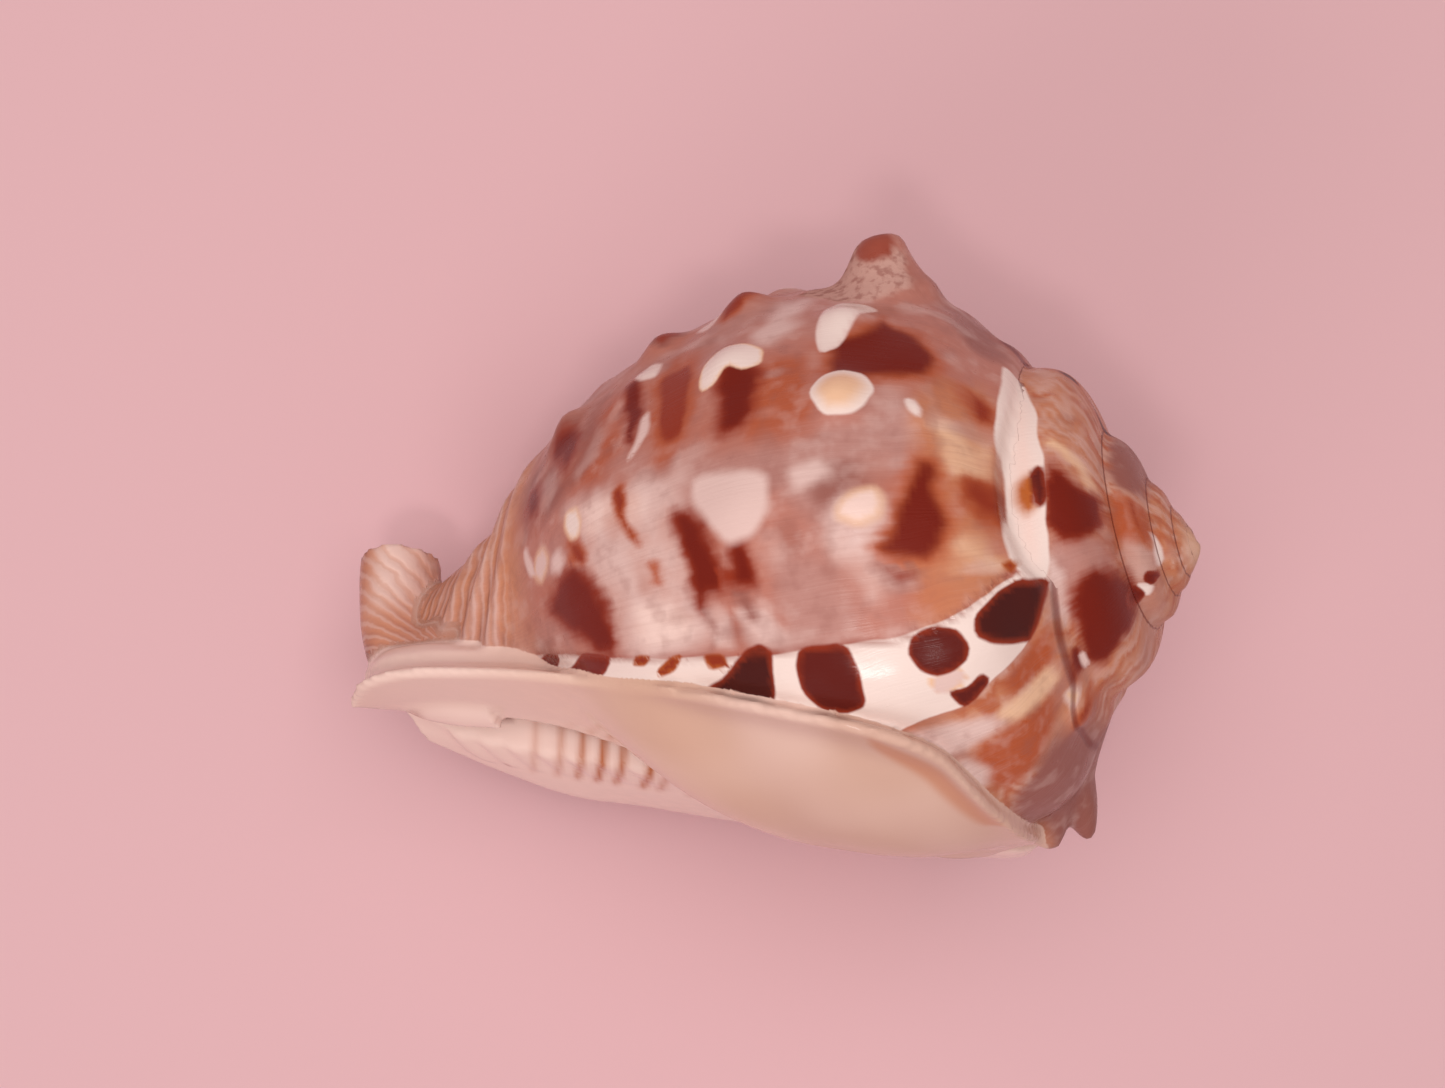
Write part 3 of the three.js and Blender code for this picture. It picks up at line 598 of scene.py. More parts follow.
AXIS_OUT = np.array([math.cos(APEX_LIFT) * math.cos(YAW), math.cos(APEX_LIFT) * math.sin(YAW),
                     math.sin(APEX_LIFT)])
BACK_LEVEL = np.array([-math.sin(YAW), math.cos(YAW), 0.0])
NEAR_LEVEL = np.cross(AXIS_OUT, BACK_LEVEL)
BACK_DIR = math.cos(FACE_ROLL) * BACK_LEVEL - math.sin(FACE_ROLL) * NEAR_LEVEL
NEAR_DIR = math.sin(FACE_ROLL) * BACK_LEVEL + math.cos(FACE_ROLL) * NEAR_LEVEL
LIE = np.array([-AXIS_OUT, BACK_DIR, NEAR_DIR])


def laid(points):
    """From the shell's frame to the surface's frame, in mm."""
    return APEX_AT + points @ LIE


def unlaid(points):
    return (points - APEX_AT) @ LIE.T


def solid_through(rings):
    """Closed mesh through rings of equal length, as points, quads and end triangles."""
    rings = np.asarray(rings, float)
    count, n = rings.shape[:2]
    points = np.concatenate([rings.reshape(-1, 3), [rings[0].mean(0)], [rings[-1].mean(0)]])
    i = np.arange(n)
    j = (i + 1) % n
    first = (np.arange(count - 1) * n)[:, None]
    quads = np.stack([first + i, first + j, first + j + n, first + i + n], -1).reshape(-1, 4)
    end = (count - 1) * n
    caps = np.concatenate([
        np.stack([np.full(n, count * n), j, i], -1),
        np.stack([np.full(n, count * n + 1), end + i, end + j], -1)])
    a, b, c, d = (points[quads[:, k]] for k in range(4))
    inside_out = np.sum(a * (np.cross(b, c) + np.cross(c, d))) < 0
    return (points, quads[:, ::-1], caps[:, ::-1]) if inside_out else (points, quads, caps)


def body():
    h = np.concatenate([np.arange(0.2, 30, 0.3), np.arange(30, 141.7, 0.6)])
    angle = np.arange(-90, 270, 0.6)
    hh, aa = np.meshgrid(h, angle, indexing="ij")
    radius = whorls_radius(hh, aa)
    return solid_through(polar(hh, aa, radius + relief(hh, aa, radius)))


def over_body(points):
    """Keeps the shield's surface just above the whorl that it covers."""
    h, angle, radius = to_polar(points)
    bare = whorls_radius(h, angle)
    least = bare + relief(h, angle, bare) + SHIELD_OVER_BODY
    covers = ease(-75, -50, angle) * ease(84, 70, angle)
    lifted = radius + (soft_max(radius, least, 1.2) - radius) * covers
    return polar(h, angle, lifted)


def shield():
    t = np.linspace(0, 1, 90)
    edge, inner = spline(SHIELD_EDGE)(t), spline(SHIELD_INNER)(t)
    share = np.linspace(0, 1, 40)[None, :, None]
    front = over_body(edge[:, None] + (inner - edge)[:, None] * share)
    depth = SHIELD_EDGE_DEPTH + (SHIELD_DEPTH - SHIELD_EDGE_DEPTH) * ease(0, 0.4, share)
    rear = front.copy()
    rear[..., 1] += depth[..., 0]
    rear[..., 2] -= np.where(share[..., 0] < 0.2, 1.2, 0)
    rim = front[:, :1] + np.array([0, SHIELD_EDGE_DEPTH / 2, 1.1])
    return solid_through(np.concatenate([rim, front, rear[:, ::-1]], axis=1))


def outer_lip():
    t = np.linspace(0, 1, 160)
    a, b = spline(LIP_INNER)(t), spline(LIP_OUTER)(t)
    thick = 0.45 + 0.55 * ease(0, 0.25, t) * ease(1.15, 0.85, t)
    section = spline(LIP_SECTION + LIP_SECTION[:1])(np.linspace(0, 1, 60)[:-1])
    rings = a[:, None] + (b - a)[:, None] * section[None, :, :1]
    rings[..., 1] += section[None, :, 1] * thick[:, None]
    return solid_through(rings)


def tube(path):
    t = np.linspace(0, 1, 60)
    line = spline(path)(t)
    points = line[:, :3]
    ahead = np.gradient(points, axis=0)
    ahead /= np.linalg.norm(ahead, axis=1, keepdims=True)
    side = np.cross([0, 0, 1], ahead)
    side /= np.linalg.norm(side, axis=1, keepdims=True)
    up = np.cross(ahead, side)
    a = np.linspace(0, 2 * math.pi, 48, endpoint=False)
    return solid_through(points[:, None]
                         + side[:, None] * (line[:, 3:4] * np.cos(a))[..., None]
                         + up[:, None] * (line[:, 4:5] * np.sin(a))[..., None])


def teeth():
    t = 0.1 + 0.66 * np.arange(TEETH) / (TEETH - 1)
    a, b = spline(LIP_INNER)(t), spline(LIP_OUTER)(t)
    turn = np.linspace(0, 2 * math.pi, 16, endpoint=False)
    solids = []
    for start, across in zip(a, b - a):
        across = across / np.linalg.norm(across)
        way, size = spline(TOOTH_SECTION)(np.linspace(0, 1, 20)).T
        rings = start + way[:, None, None] * across + np.stack([
            TOOTH_HALF_WIDTH * size[:, None] * np.cos(turn),
            -0.2 + 2 * TOOTH_HEIGHT * size[:, None] * np.sin(turn),
            np.zeros((20, 16))], -1)
        solids.append(solid_through(rings))
    return solids


def horn():
    height, radius = spline(HORN_OUTLINE)(np.linspace(0, 1, 40)).T
    root = whorls_radius(np.array(HORN_H), np.array(HORN_ANGLE))
    middle = polar(HORN_H - HORN_LEAN * height, HORN_ANGLE, root + height)
    turn = np.radians(HORN_ANGLE)
    a = np.linspace(0, 2 * math.pi, 40, endpoint=False)
    round_way = radius[:, None] * np.sin(a)
    return solid_through(middle[:, None] + np.stack([
        radius[:, None] * np.cos(a), round_way * math.sin(turn), round_way * math.cos(turn)], -1))


def margin_curve(points, value):
    return curve(sorted((p[0], p[value]) for p in points))


shield_margin = [margin_curve(SHIELD_INNER[:10], value) for value in (1, 2)]
lip_margin = [margin_curve(LIP_INNER, value) for value in (1, 2)]


def slot():
    """The slot runs level into the shell, away from the side that the aperture faces."""
    level = np.array([0.0, 1.0, 0.0])
    inward = np.array([-level @ AXIS_OUT, level @ BACK_DIR, level @ NEAR_DIR])
    h = np.linspace(SLOT_FROM, SLOT_TO, 60)
    back, near = ((shield_margin[k](h) + lip_margin[k](h)) / 2 for k in (0, 1))
    ends = ease(SLOT_TO + 3, 120, h) * ease(SLOT_FROM - 6, 66, h)
    half = SLOT_HALF_WIDTH * (0.45 + 0.55 * ends)
    depth = SLOT_DEPTH * (0.5 + 0.5 * ends)
    mouth = np.stack([h, back, near], -1)
    across = np.array([0.0, 0.0, 1.0])
    corners = [mouth + side * half[:, None] * across + way[:, None] * inward
               for side, way in ((-1, -40 + 0 * h), (1, -40 + 0 * h), (1, depth), (-1, depth))]
    return solid_through(np.stack(corners, 1))


def field(mesh):
    """Distance to a solid on the common grid, negative inside, cut off at the reach."""
    points, quads, caps = mesh
    local = (laid(points) - GRID_LOW) / VOXEL
    grid = vdb.FloatGrid.createLevelSetFromPolygons(
        local.astype(np.float32), triangles=caps.astype(np.uint32),
        quads=quads.astype(np.uint32), transform=vdb.createLinearTransform(1.0),
        halfWidth=float(FIELD_REACH))
    values = np.full(GRID_SHAPE, float(FIELD_REACH), np.float32)
    grid.copyToArray(values)
    return values * VOXEL


def between_corners(table, cell, share):
    """Value inside a cell of a table, from its eight corners, by the share of the way along each side."""
    total = 0
    for corner in np.ndindex(2, 2, 2):
        x, y, z = ((cell + corner) % table.shape).T
        total = total + np.prod(np.where(corner, share, 1 - share), axis=1) * table[x, y, z]
    return total


def sample(values, points):
    """Value of a grid at points."""
    at = (points - GRID_LOW) / VOXEL
    cell = np.clip(np.floor(at).astype(int), 0, np.array(values.shape) - 2)
    return between_corners(values, cell, at - cell)


def shell_mesh():
    """Points in mm, quads, and the fields of the forms that colour needs."""
    forms = {
        "body": body(), "shield": shield(), "lip": outer_lip(), "canal": tube(CANAL_PATH),
        "horn": horn(), "slot": slot(), "bore": tube(CANAL_BORE),
    }
    parts = {name: field(mesh) for name, mesh in forms.items()}
    for mesh in teeth():
        parts["teeth"] = np.minimum(parts.get("teeth", np.inf), field(mesh))
    solid = parts["body"]
    for name, blend in ADDED.items():
        solid = soft_min(solid, parts[name], blend)
    for name, blend in CUT_OUT.items():
        solid = soft_max(solid, -parts[name], blend)
    grid = vdb.FloatGrid()
    grid.transform = vdb.createLinearTransform(1.0)
    grid.copyFromArray(solid.astype(np.float32))
    points, quads = grid.convertToQuads(0.0)
    return points * VOXEL + GRID_LOW, quads, parts


def make_object(points, quads):
    mesh = bpy.data.meshes.new("helmet_shell_fine")
    mesh.from_pydata(points * MM, [], quads)
    mesh.validate()
    mesh.shade_smooth()
    piece = bpy.data.objects.new("helmet_shell_fine", mesh)
    bpy.context.scene.collection.objects.link(piece)
    return piece


def linear(tone):
    """Tone of 0 to 255 as the eye sees it, as linear light."""
    c = np.array(tone) / 255
    return np.where(c <= 0.04045, c / 12.92, ((c + 0.055) / 1.055) ** 2.4)


def noise(points, size, seed):
    """Smooth noise from -1 to 1 with features of about the given size."""
    table = np.random.default_rng(seed).uniform(-1, 1, (32, 32, 32))
    at = points / size
    cell = np.floor(at).astype(int)
    return between_corners(table, cell, ease(0, 1, at - cell))


def rounded(corners):
    corners = np.array(corners, float)
    for _ in range(CORNER_CUTS):
        ahead = np.roll(corners, -1, axis=0)
        step = CUT_SHARE * (ahead - corners)
        corners = np.stack([corners + step, ahead - step], 1).reshape(-1, 2)
    return corners.tolist()


def polygon_distance(h, angle, round_mm, corners):
    """Distance in mm to the outline of a mark, positive inside it."""
    corners = rounded(corners)
    nearest = np.full(h.shape, 1e9)
    inside = np.zeros(h.shape, bool)
    for (h0, a0), (h1, a1) in zip(corners[-1:] + corners[:-1], corners):
        ex, ey = h1 - h0, (a1 - a0) * round_mm
        wx, wy = h - h0, angle_apart(angle, a0) * round_mm
        t = np.clip((wx * ex + wy * ey) / (ex * ex + ey * ey), 0, 1)
        nearest = np.minimum(nearest, (wx - ex * t) ** 2 + (wy - ey * t) ** 2)
        if a0 != a1:
            beside = (a0 > angle) != (a1 > angle)
            inside ^= beside & (h < h0 + (h1 - h0) * (angle - a0) / (a1 - a0))
    return np.where(inside, 1, -1) * np.sqrt(nearest)


def paint_layer(h, angle, round_mm, marks):
    """Cover from -1 to 1 across each mark's soft edge and on past it, and the nearest mark's tone."""
    cover = np.full(h.shape, NO_COVER)
    tone = np.tile(linear(marks[0][1]), (len(h), 1))
    for core, edge, depth, soft, corners in marks:
        distance = polygon_distance(h, angle, round_mm, corners)
        inner = ease(0, depth, distance)[:, None]
        here = linear(edge) * (1 - inner) + linear(core) * inner
        nearer = (distance / soft > cover) | (distance > 0)
        tone = np.where(nearer[:, None], here, tone)
        cover = np.maximum(cover, distance / soft)
    return np.minimum(cover, FULL_COVER), tone


def lay(tone, layers):
    """Lays colours over a tone one after the other, each with its share at each place."""
    for colour, share in layers:
        tone = tone + (linear(colour) - tone) * share[:, None]
    return tone


def lay_zones(tone, zones, place, shift, share):
    """Soft areas of colour at a place of (h, angle, mm per degree), each grown by shift."""
    return lay(tone, [(colour, ease(-soft, soft, polygon_distance(*place, corners) + shift) * share)
                      for colour, soft, corners in zones])


def whorl_turns(h, angle):
    """How far older whorls stand above the last one, and a height in mm that is 0 at each suture."""
    heights = np.stack([whorl(h, angle - 360 * turn) for turn in range(OLDER_TURNS + 1)])
    ranked = np.sort(heights, axis=0)
    odd_turn = heights.argmax(axis=0) % 2
    gap = (ranked[-1] - ranked[-2]) * (1 - 2 * odd_turn)
    at_last_suture = (heights[0] >= ranked[-2]) & (angle < LAST_SUTURE[-1][0])
    return heights[1:].max(axis=0) - heights[0], np.where(at_last_suture, h - last_suture(angle), gap)


def body_tone(local, h, angle, round_mm):
    """Soft colours of the body, the older shoulder and the spire."""
    broad = noise(local, 9.0, 11)
    fine = noise(local, 3.5, 12)
    streak = noise(np.stack([h / 14, angle / 3.2, 0 * h], 1), 1.0, 13)
    tone = lay(np.tile(linear(ROSE), (len(h), 1)), [
        (MAUVE, ease(-0.1, 0.7, broad) * 0.7),
        (ORANGE, ease(0.1, 0.9, -broad + 0.3 * fine) * 0.5 * ease(140, 160, angle)),
    ])
    h_soft = h + 1.8 * broad + 1.0 * fine
    angle_soft = angle + (1.6 * noise(local, 7.0, 14) + 0.8 * noise(local, 2.8, 15)) / round_mm
    tone = lay_zones(tone, ZONES, (h_soft, angle_soft, round_mm), streak, 0.9)
    early = ease(-0.2, 0.5, whorl_turns(h, angle)[0]) * ease(24, 20, h)
    shoulder = ease(1.0, -1.0, (angle - crease_angle(h)) * round_mm) * ease(46, 42, h)
    early = np.maximum(early, shoulder * ease(-85, -70, angle))
    zigzag = angle + ZIGZAG * abs((h / ZIGZAG_STEP) % 2 - 1) + 3 * fine
    chevrons = noise(np.stack([h / 6, zigzag / 2.6, 0 * h], 1), 1.0, 17)
    tone = lay(tone, [
        (PALE, ease(0.3, 0.9, fine + 0.6 * streak) * 0.35),
        (PLUM, ease(0.4, 1.0, noise(local, 5.0, 16) + 0.5 * streak) * 0.4),
        (TAN, early * 0.95),
        (ORANGE, early * ease(-0.1, 0.6, chevrons + 0.6 * broad) * 0.7),
        (PALE, early * ease(0.15, 0.7, -chevrons + 0.5 * fine) * 0.4),
        (MAUVE, early * ease(0.1, 0.7, -broad - 0.3 * fine) * 0.6),
    ])
    tone = lay_zones(tone, SPIRE_ZONES, (h, angle, round_mm), 0.4 * streak, early)
    foot = ease(100, 107, h)
    return lay(tone, [
        (FOOT, foot * 0.95),
        (TAN, foot * ease(-0.4, 0.6, fine) * 0.75),
        (PALE, foot * ease(0.7, 1.9, relief(h, angle, whorls_radius(h, angle))) * 0.35),
        (CREAM, ease(3.2, 1.0, h) * 0.7),
    ])


def trim_tone(local, h, angle, round_mm, lip, canal, ribbed):
    """Colours of the shield, the outer lip and the canal, which lie over the body, with a painted
    highlight and painted shade on the canal.
    """
    broad = noise(local, 14.0, 21)
    fine = noise(local, 3.0, 22)
    tone = lay(np.tile(linear(PEACH), (len(h), 1)), [
        (IVORY, canal),
        (IVORY, ease(-0.3, 0.7, broad) * 0.4),
        (IVORY, ease(78, 104, h) * 0.8),
        (CREAM, ease(120, 96, h) * ease(60, 78, h) * 0.25),
    ])
    tone = lay_zones(tone, SHIELD_ZONES, (h, angle, round_mm), 0, 0.7)
    return lay(tone, [
        (IVORY, lip),
        (AMBER, lip * lip_lines(local) * 0.95),
        (MAROON, lip * lip_bars(local) * 0.9),
        (CHALK, lip * ease(0.55, 0.9, fine) * ease(118, 124, h)),
        (FOOT, ribbed),
        (TAN, ribbed * ease(139, 145, h + 0.6 * fine)),
        (PLUM, ribbed * ease(140, 145, h + 0.6 * fine) * 0.75),
        # Painted highlight: a lighter patch on the upper middle of the canal
        (IVORY, ribbed * ease(6, 1, abs(h - 136)) * ease(6, 15, local[:, 1]) * 0.8),
        # Painted shadow: a dark patch on the canal's lower wall near its front end
        (MAROON, ribbed * ease(136, 142, h) * ease(8, 2, local[:, 1]) * 0.8),
    ])


def lip_lines(local):
    """Brown lines in the furrows between the teeth."""
    h = local[:, 0]
    outward = lip_margin[1](h) - local[:, 2]
    lines = [strength * bell(h - line_h - LIP_LINE_LEAN * outward, LIP_LINE_HALF_WIDTH)
             for line_h, strength in LIP_LINES]
    return np.max(lines, axis=0) * ease(-7, -3, outward) * ease(16, 11, outward)


def lip_bars(local):
    """Dark bars across the outside of the rolled lip, as on the earlier lip."""
    h = local[:, 0]
    behind = local[:, 1] - lip_outer_back(h)
    apart = np.min([abs(h - middle - 0.2 * behind) for middle in LIP_BARS], axis=0)
    return ease(-0.6, 0.6, LIP_BAR_HALF_WIDTH - apart) * ease(4.0, 5.5, behind)


def paint_shell(shell, points, parts):
    """Colour layers and the masks that the material reads, one value for each vertex."""
    local = unlaid(points)
    h, angle, radius = to_polar(local)
    round_mm = np.radians(1.0) * np.maximum(radius, 1.5)
    h_stray = 0.9 * noise(local, 4.5, 1) + 0.45 * noise(local, 1.7, 2)
    angle_stray = (0.8 * noise(local, 4.5, 3) + 0.4 * noise(local, 1.7, 4)) / round_mm
    apart = {name: sample(parts[name], points) for name in ("shield", "lip", "canal", "teeth")}
    on_shield = ease(*TRIM_FADE, apart["shield"])
    on_lip = ease(*LIP_FADE, np.minimum(apart["lip"], apart["teeth"])) * (1 - on_shield)
    bare = (1 - on_shield) * (1 - on_lip)
    on_canal = ease(*TRIM_FADE, apart["canal"]) * bare
    ribbed_side = ease(-9, -6, local[:, 1])
    ribbed_canal = on_canal * ribbed_side
    trim = on_shield + on_lip + on_canal
    store(shell, "body_tone", body_tone(local, h, angle, round_mm))
    store(shell, "trim_tone", trim_tone(local, h, angle, round_mm, on_lip, on_canal, ribbed_canal))
    store(shell, "trim", trim)
    for name, marks, stray, softer in (("brown", FLAMES + hidden_flames(), 1.0, 1.5),
                                       ("milk", MILKS_AND_HIGHLIGHT + hidden_knobs(), 0.3, 1.0),
                                       ("blotch", BLOTCHES, 0.25, 1.0)):
        cover, tone = paint_layer(h + h_stray * stray, angle + angle_stray * stray, round_mm, marks)
        store(shell, name, cover / softer)
        store(shell, name + "_tone", tone)
    flow = np.stack([h, angle * 0.8 + 0.9 * noise(local, 5.0, 5) * ease(60, 25, h), 0 * h], 1)
    store(shell, "flow", flow)
    fan = np.arctan2(local[:, 1] - FAN_CENTRE[1], local[:, 0] - FAN_CENTRE[0]) * FAN_RADIUS
    store(shell, "rib_way", (h + 0.03 * (angle - 90)) * (1 - ribbed_canal) + fan * ribbed_canal)
    store(shell, "ribs", np.maximum(ribbed_canal, ease(104, 112, h) * bare * ribbed_side))
    ragged = noise(local, 2.0, 6)
    crust = np.linalg.norm((local - horn_place(*CHALK_AT)) / (1.25, 1, 1), axis=1) + 1.1 * ragged
    tip = np.linalg.norm(local - horn_place(*HORN_TIP_AT), axis=1) + 0.6 * ragged
    store(shell, "chalk", ease(CHALK_REACH + 0.6, CHALK_REACH - 0.6, crust) * ease(3.2, 4.4, tip))
    store(shell, "horn_tip", ease(5.0, 3.4, tip))
    # Near 0 along the sutures, where the material draws a dark line of painted shade
    store(shell, "suture", whorl_turns(h, angle)[1] + 3 * ease(20, 26, h) + 3 * ease(3, 1, h) + 3 * trim)
    # A bump groove and a line of painted shade along the earlier lip's edge
    line = angle_apart(angle, old_lip_angle(h)) * round_mm * ease(112, 104, h)
    store(shell, "groove_shade", bell(line, 0.55) * ease(19, 23, h) * ease(112, 108, h) * (1 - trim))


def horn_place(towards_canal, height, turn):
    """A place on the horn: mm from its middle line, mm above its root, degrees round the shell."""
    root = whorls_radius(np.array(HORN_H), np.array(HORN_ANGLE))
    h = HORN_H - HORN_LEAN * height + towards_canal
    return polar(h + 0 * root, HORN_ANGLE + turn, root + height)


def hidden_knobs():
    """White caps on the knobs of the side that the photo doesn't show."""
    caps = []
    for h, angle, height, width in KNOBS:
        if angle > 155 and height > 1.5:
            step = width * 0.55
            turn = step / 0.8
            outline = [(-1, 0), (-0.6, 0.7), (0.5, 0.7), (1, 0), (0.4, -0.6), (-0.6, -0.5)]
            caps.append((MILK, PALE, 0.8, 0.5, [(h + step * x, angle + turn * y) for x, y in outline]))
    return caps


def hidden_flames():
    """Brown flames between the knobs of the hidden side, in the same rows as in front."""
    rng = np.random.default_rng(7)
    flames = []
    for row in (34, 52, 69, 84, 98):
        for angle in range(158, 262, 17):
            h = row + rng.uniform(-3, 3)
            middle = angle + rng.uniform(-4, 4)
            half, long = rng.uniform(2.6, 5.2), rng.uniform(5, 11)
            lean = rng.uniform(-2.5, 2.5)
            outline = [(-1, 1, 1), (0.6, 1, 0.8), (1, 0, 0), (0.3, -1, -1), (-0.8, 0, -0.6)]
            flames.append((MAROON, RUST, 2.2, 0.9, [
                (h + half * x + lean * side, middle + long * y) for x, side, y in outline]))
    return flames


def store(shell, name, values):
    """Keeps a value, a tone or a place for each vertex under a name."""
    values = np.asarray(values, np.float32)
    kind, entry = ("FLOAT", "value") if values.ndim == 1 else ("FLOAT_VECTOR", "vector")
    if name.endswith("tone"):
        kind, entry = "FLOAT_COLOR", "color"
        opaque = np.ones((len(values), 1), np.float32)
        values = np.concatenate([np.clip(values, 0, 1), opaque], 1)
    shell.data.attributes.new(name, kind, "POINT").data.foreach_set(entry, values.ravel())


class Nodes:
    """Short forms for the nodes of one material."""

    def __init__(self, material):
        material.use_nodes = True
        self.tree = material.node_tree
        self.bsdf = self.tree.nodes["Principled BSDF"]

    def add(self, kind, entries, **settings):
        """Adds a node with its inputs filled by numbers or by other nodes, and gives its outputs."""
        node = self.tree.nodes.new(kind)
        for name, value in settings.items():
            setattr(node, name, value)
        for place, value in entries.items():
            self.put(value, node.inputs[place])
        return node.outputs

    def put(self, value, socket):
        if isinstance(value, bpy.types.NodeSocket):
            self.tree.links.new(value, socket)
        else:
            socket.default_value = value

    def read(self, name, output="Fac"):
        return self.add("ShaderNodeAttribute", {}, attribute_name=name)[output]

    def math(self, operation, a, b=0.0):
        return self.add("ShaderNodeMath", {0: a, 1: b}, operation=operation)[0]

    def times(self, a, b):
        return self.math("MULTIPLY", a, b)

    def centred(self, value, reach):
        return self.times(self.math("SUBTRACT", value, 0.5), reach)

    def band(self, value, low, high, to_low=0.0, to_high=1.0):
        entries = {0: value, 1: low, 2: high, 3: to_low, 4: to_high}
        return self.add("ShaderNodeMapRange", entries, interpolation_type="SMOOTHSTEP")[0]

    def noise(self, vector, scale, detail=3.0, stretch=None):
        if stretch:
            vector = self.add("ShaderNodeMapping", {"Vector": vector, "Scale": stretch})[0]
        return self.add("ShaderNodeTexNoise", {"Vector": vector, "Scale": scale, "Detail": detail})["Fac"]

    def mix(self, share, a, b):
        return self.add("ShaderNodeMix", {"Factor": share, 6: a, 7: b}, data_type="RGBA")[2]

    def tint(self, colour, tone, share, strength):
        """A colour, turned towards a tone where share is 1, as far as strength says."""
        return self.mix(self.times(share, strength), colour, (*linear(tone).tolist(), 1.0))


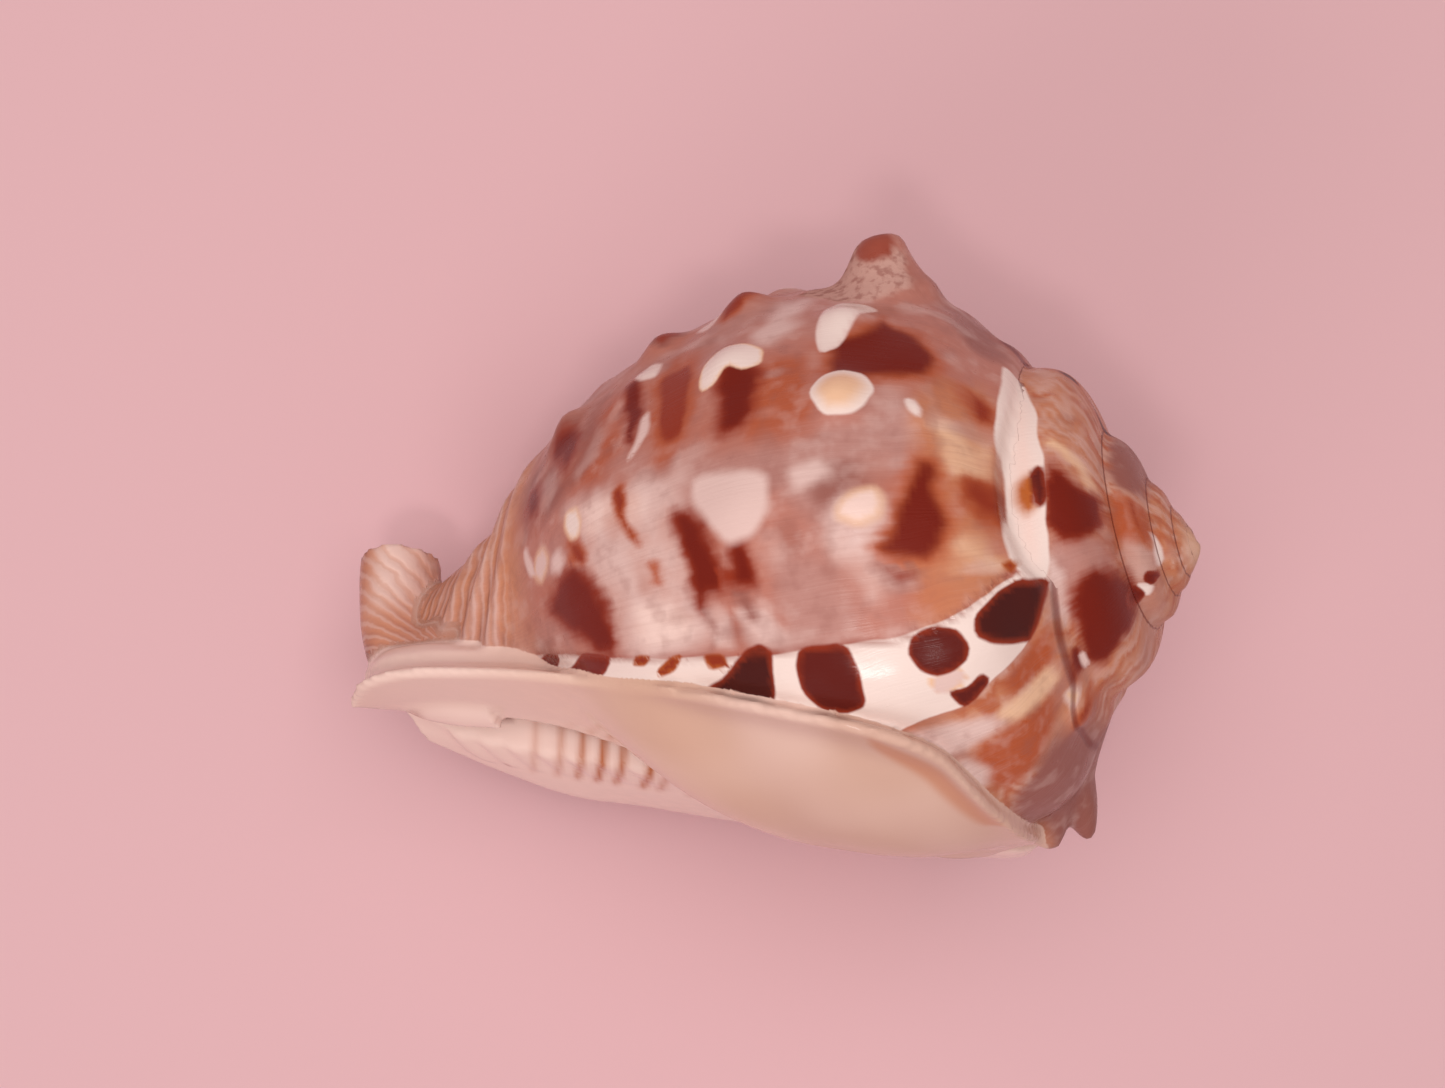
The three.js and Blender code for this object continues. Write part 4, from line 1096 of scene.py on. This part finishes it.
def shell_material():
    """Lays the painted layers over each other, and adds what is finer than the mesh."""
    material = bpy.data.materials.new("shell")
    n = Nodes(material)
    place = n.add("ShaderNodeTexCoord", {})["Object"]
    flow = n.read("flow", "Vector")
    growth_lines = n.noise(flow, 1.0, 4.0, (0.07, 1.5, 1.0))
    fine_lines = n.noise(flow, 1.0, 3.0, (0.12, 3.6, 1.0))
    streaks = n.noise(flow, 1.0, 2.0, (0.12, 0.7, 1.0))
    mottle = n.noise(place, 260.0, 2.5)
    grain = n.noise(place, 700.0)
    pits = n.noise(place, 700.0, 6.0)

    colour = n.tint(n.read("body_tone", "Color"), PLUM, n.band(growth_lines, 0.42, 0.68), 0.1)
    colour = n.tint(colour, PALE, n.band(fine_lines, 0.5, 0.75), 0.07)
    colour = n.tint(colour, PALE, n.band(mottle, 0.5, 0.72), 0.22)
    colour = n.tint(colour, PLUM, n.band(mottle, 0.5, 0.28), 0.3)
    halo = n.times(n.band(n.read("brown"), -4.5, -0.5), n.band(n.noise(place, 130.0), 0.3, 0.7))
    colour = n.tint(colour, ORANGE, halo, 0.45)
    for name, ragged, feather in (("brown", 0.6, 1.1), ("milk", 0.3, 0.3), ("blotch", 0.3, 0.4)):
        cover = n.math("ADD", n.read(name), n.centred(grain, ragged))
        cover = n.math("ADD", cover, n.centred(streaks, feather))
        colour = n.mix(n.band(cover, -1.0, 1.0), colour, n.read(name + "_tone", "Color"))
    suture = n.band(n.math("ABSOLUTE", n.read("suture")), 0.65, 0.1)
    groove_shade = n.read("groove_shade")
    # Painted shade: a dark maroon line in the groove of each suture
    colour = n.tint(colour, MAROON, suture, 0.65)
    # Painted shade: a rust line in the groove along the earlier lip's edge
    colour = n.tint(colour, RUST, groove_shade, 0.55)
    trim = n.band(n.math("ADD", n.read("trim"), n.centred(grain, 0.1)), 0.35, 0.65)
    colour = n.mix(trim, colour, n.read("trim_tone", "Color"))

    rib_way = n.math("ADD", n.read("rib_way"), n.centred(n.noise(place, 180.0), 2.6))
    ribs = n.times(n.read("ribs"), n.math("SINE", n.times(rib_way, 2 * math.pi / RIB_SPACING)))
    colour = n.tint(colour, PALE, n.band(ribs, 0.1, 1.0), 0.34)
    colour = n.tint(colour, TAN, n.band(ribs, -0.1, -1.0), 0.3)

    chalk = n.read("chalk")
    crust = n.tint((*linear(CHALK).tolist(), 1.0), PLUM, n.band(pits, 0.45, 0.65), 0.6)
    colour = n.tint(colour, RUST, n.read("horn_tip"), 0.75)
    n.put(n.mix(chalk, colour, crust), n.bsdf.inputs["Base Color"])

    white_or_dark = n.math("MAXIMUM", n.read("milk"), n.read("blotch"))
    polished = n.math("MAXIMUM", trim, n.band(white_or_dark, -0.5, 0.5))
    rough = n.band(n.noise(place, 240.0), 0.3, 0.7, 0.26, 0.4)
    rough = n.math("SUBTRACT", rough, n.times(polished, 0.14))
    n.put(n.math("ADD", rough, n.times(chalk, 0.5)), n.bsdf.inputs["Roughness"])
    n.bsdf.inputs["Specular IOR Level"].default_value = 0.22

    height = n.math("ADD", n.times(fine_lines, 0.35), n.times(growth_lines, 0.5))
    height = n.times(height, n.math("SUBTRACT", 1.0, n.times(trim, 0.85)))
    for layer, lift in ((ribs, 0.8), (groove_shade, -2.0), (suture, -2.0), (n.times(pits, chalk), 2.0)):
        height = n.math("ADD", height, n.times(layer, lift))
    bump = n.add("ShaderNodeBump", {"Height": height, "Strength": 0.42, "Distance": 0.00025})
    n.put(bump[0], n.bsdf.inputs["Normal"])
    return material


points, quads, parts = shell_mesh()
shell = make_object(points, quads)
paint_shell(shell, points, parts)
shell.data.materials.append(shell_material())
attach(shell, "root")
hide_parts("helmet_shell")


def floor():
    bpy.ops.mesh.primitive_plane_add(size=FLOOR_SIZE)
    plane = bpy.context.object
    plane.name = "floor"
    paint = bpy.data.materials.new("floor_paper")
    paint.use_nodes = True
    node = paint.node_tree.nodes["Principled BSDF"]
    node.inputs["Base Color"].default_value = FLOOR_COLOUR
    node.inputs["Roughness"].default_value = 0.8
    plane.data.materials.append(paint)


def area_light(name, location, size, watts, mirrored):
    data = bpy.data.lights.new(name, "AREA")
    data.shape = "RECTANGLE"
    data.size, data.size_y = size
    data.energy = watts
    lamp = bpy.data.objects.new(name, data)
    lamp.location = location
    lamp.visible_glossy = mirrored
    way = mathutils.Vector(LAMPS_AIM_AT) - mathutils.Vector(location)
    lamp.rotation_mode = "QUATERNION"
    lamp.rotation_quaternion = way.to_track_quat("-Z", "Y")
    bpy.context.scene.collection.objects.link(lamp)


def room():
    world = bpy.data.worlds.new("room")
    world.use_nodes = True
    background = world.node_tree.nodes["Background"]
    background.inputs[0].default_value = ROOM_COLOUR
    background.inputs[1].default_value = ROOM_LIGHT
    bpy.context.scene.world = world


def photo_camera():
    data = bpy.data.cameras.new("camera")
    data.lens = LENS_MM
    data.sensor_width = SENSOR_MM
    data.clip_start = 0.02
    camera = bpy.data.objects.new("camera", data)
    camera.location = [v * MM for v in CAMERA_AT]
    bpy.context.scene.collection.objects.link(camera)
    bpy.context.scene.camera = camera


floor()
for lamp in LAMPS:
    area_light(*lamp)
room()
photo_camera()
bpy.context.scene.view_settings.view_transform = "Standard"
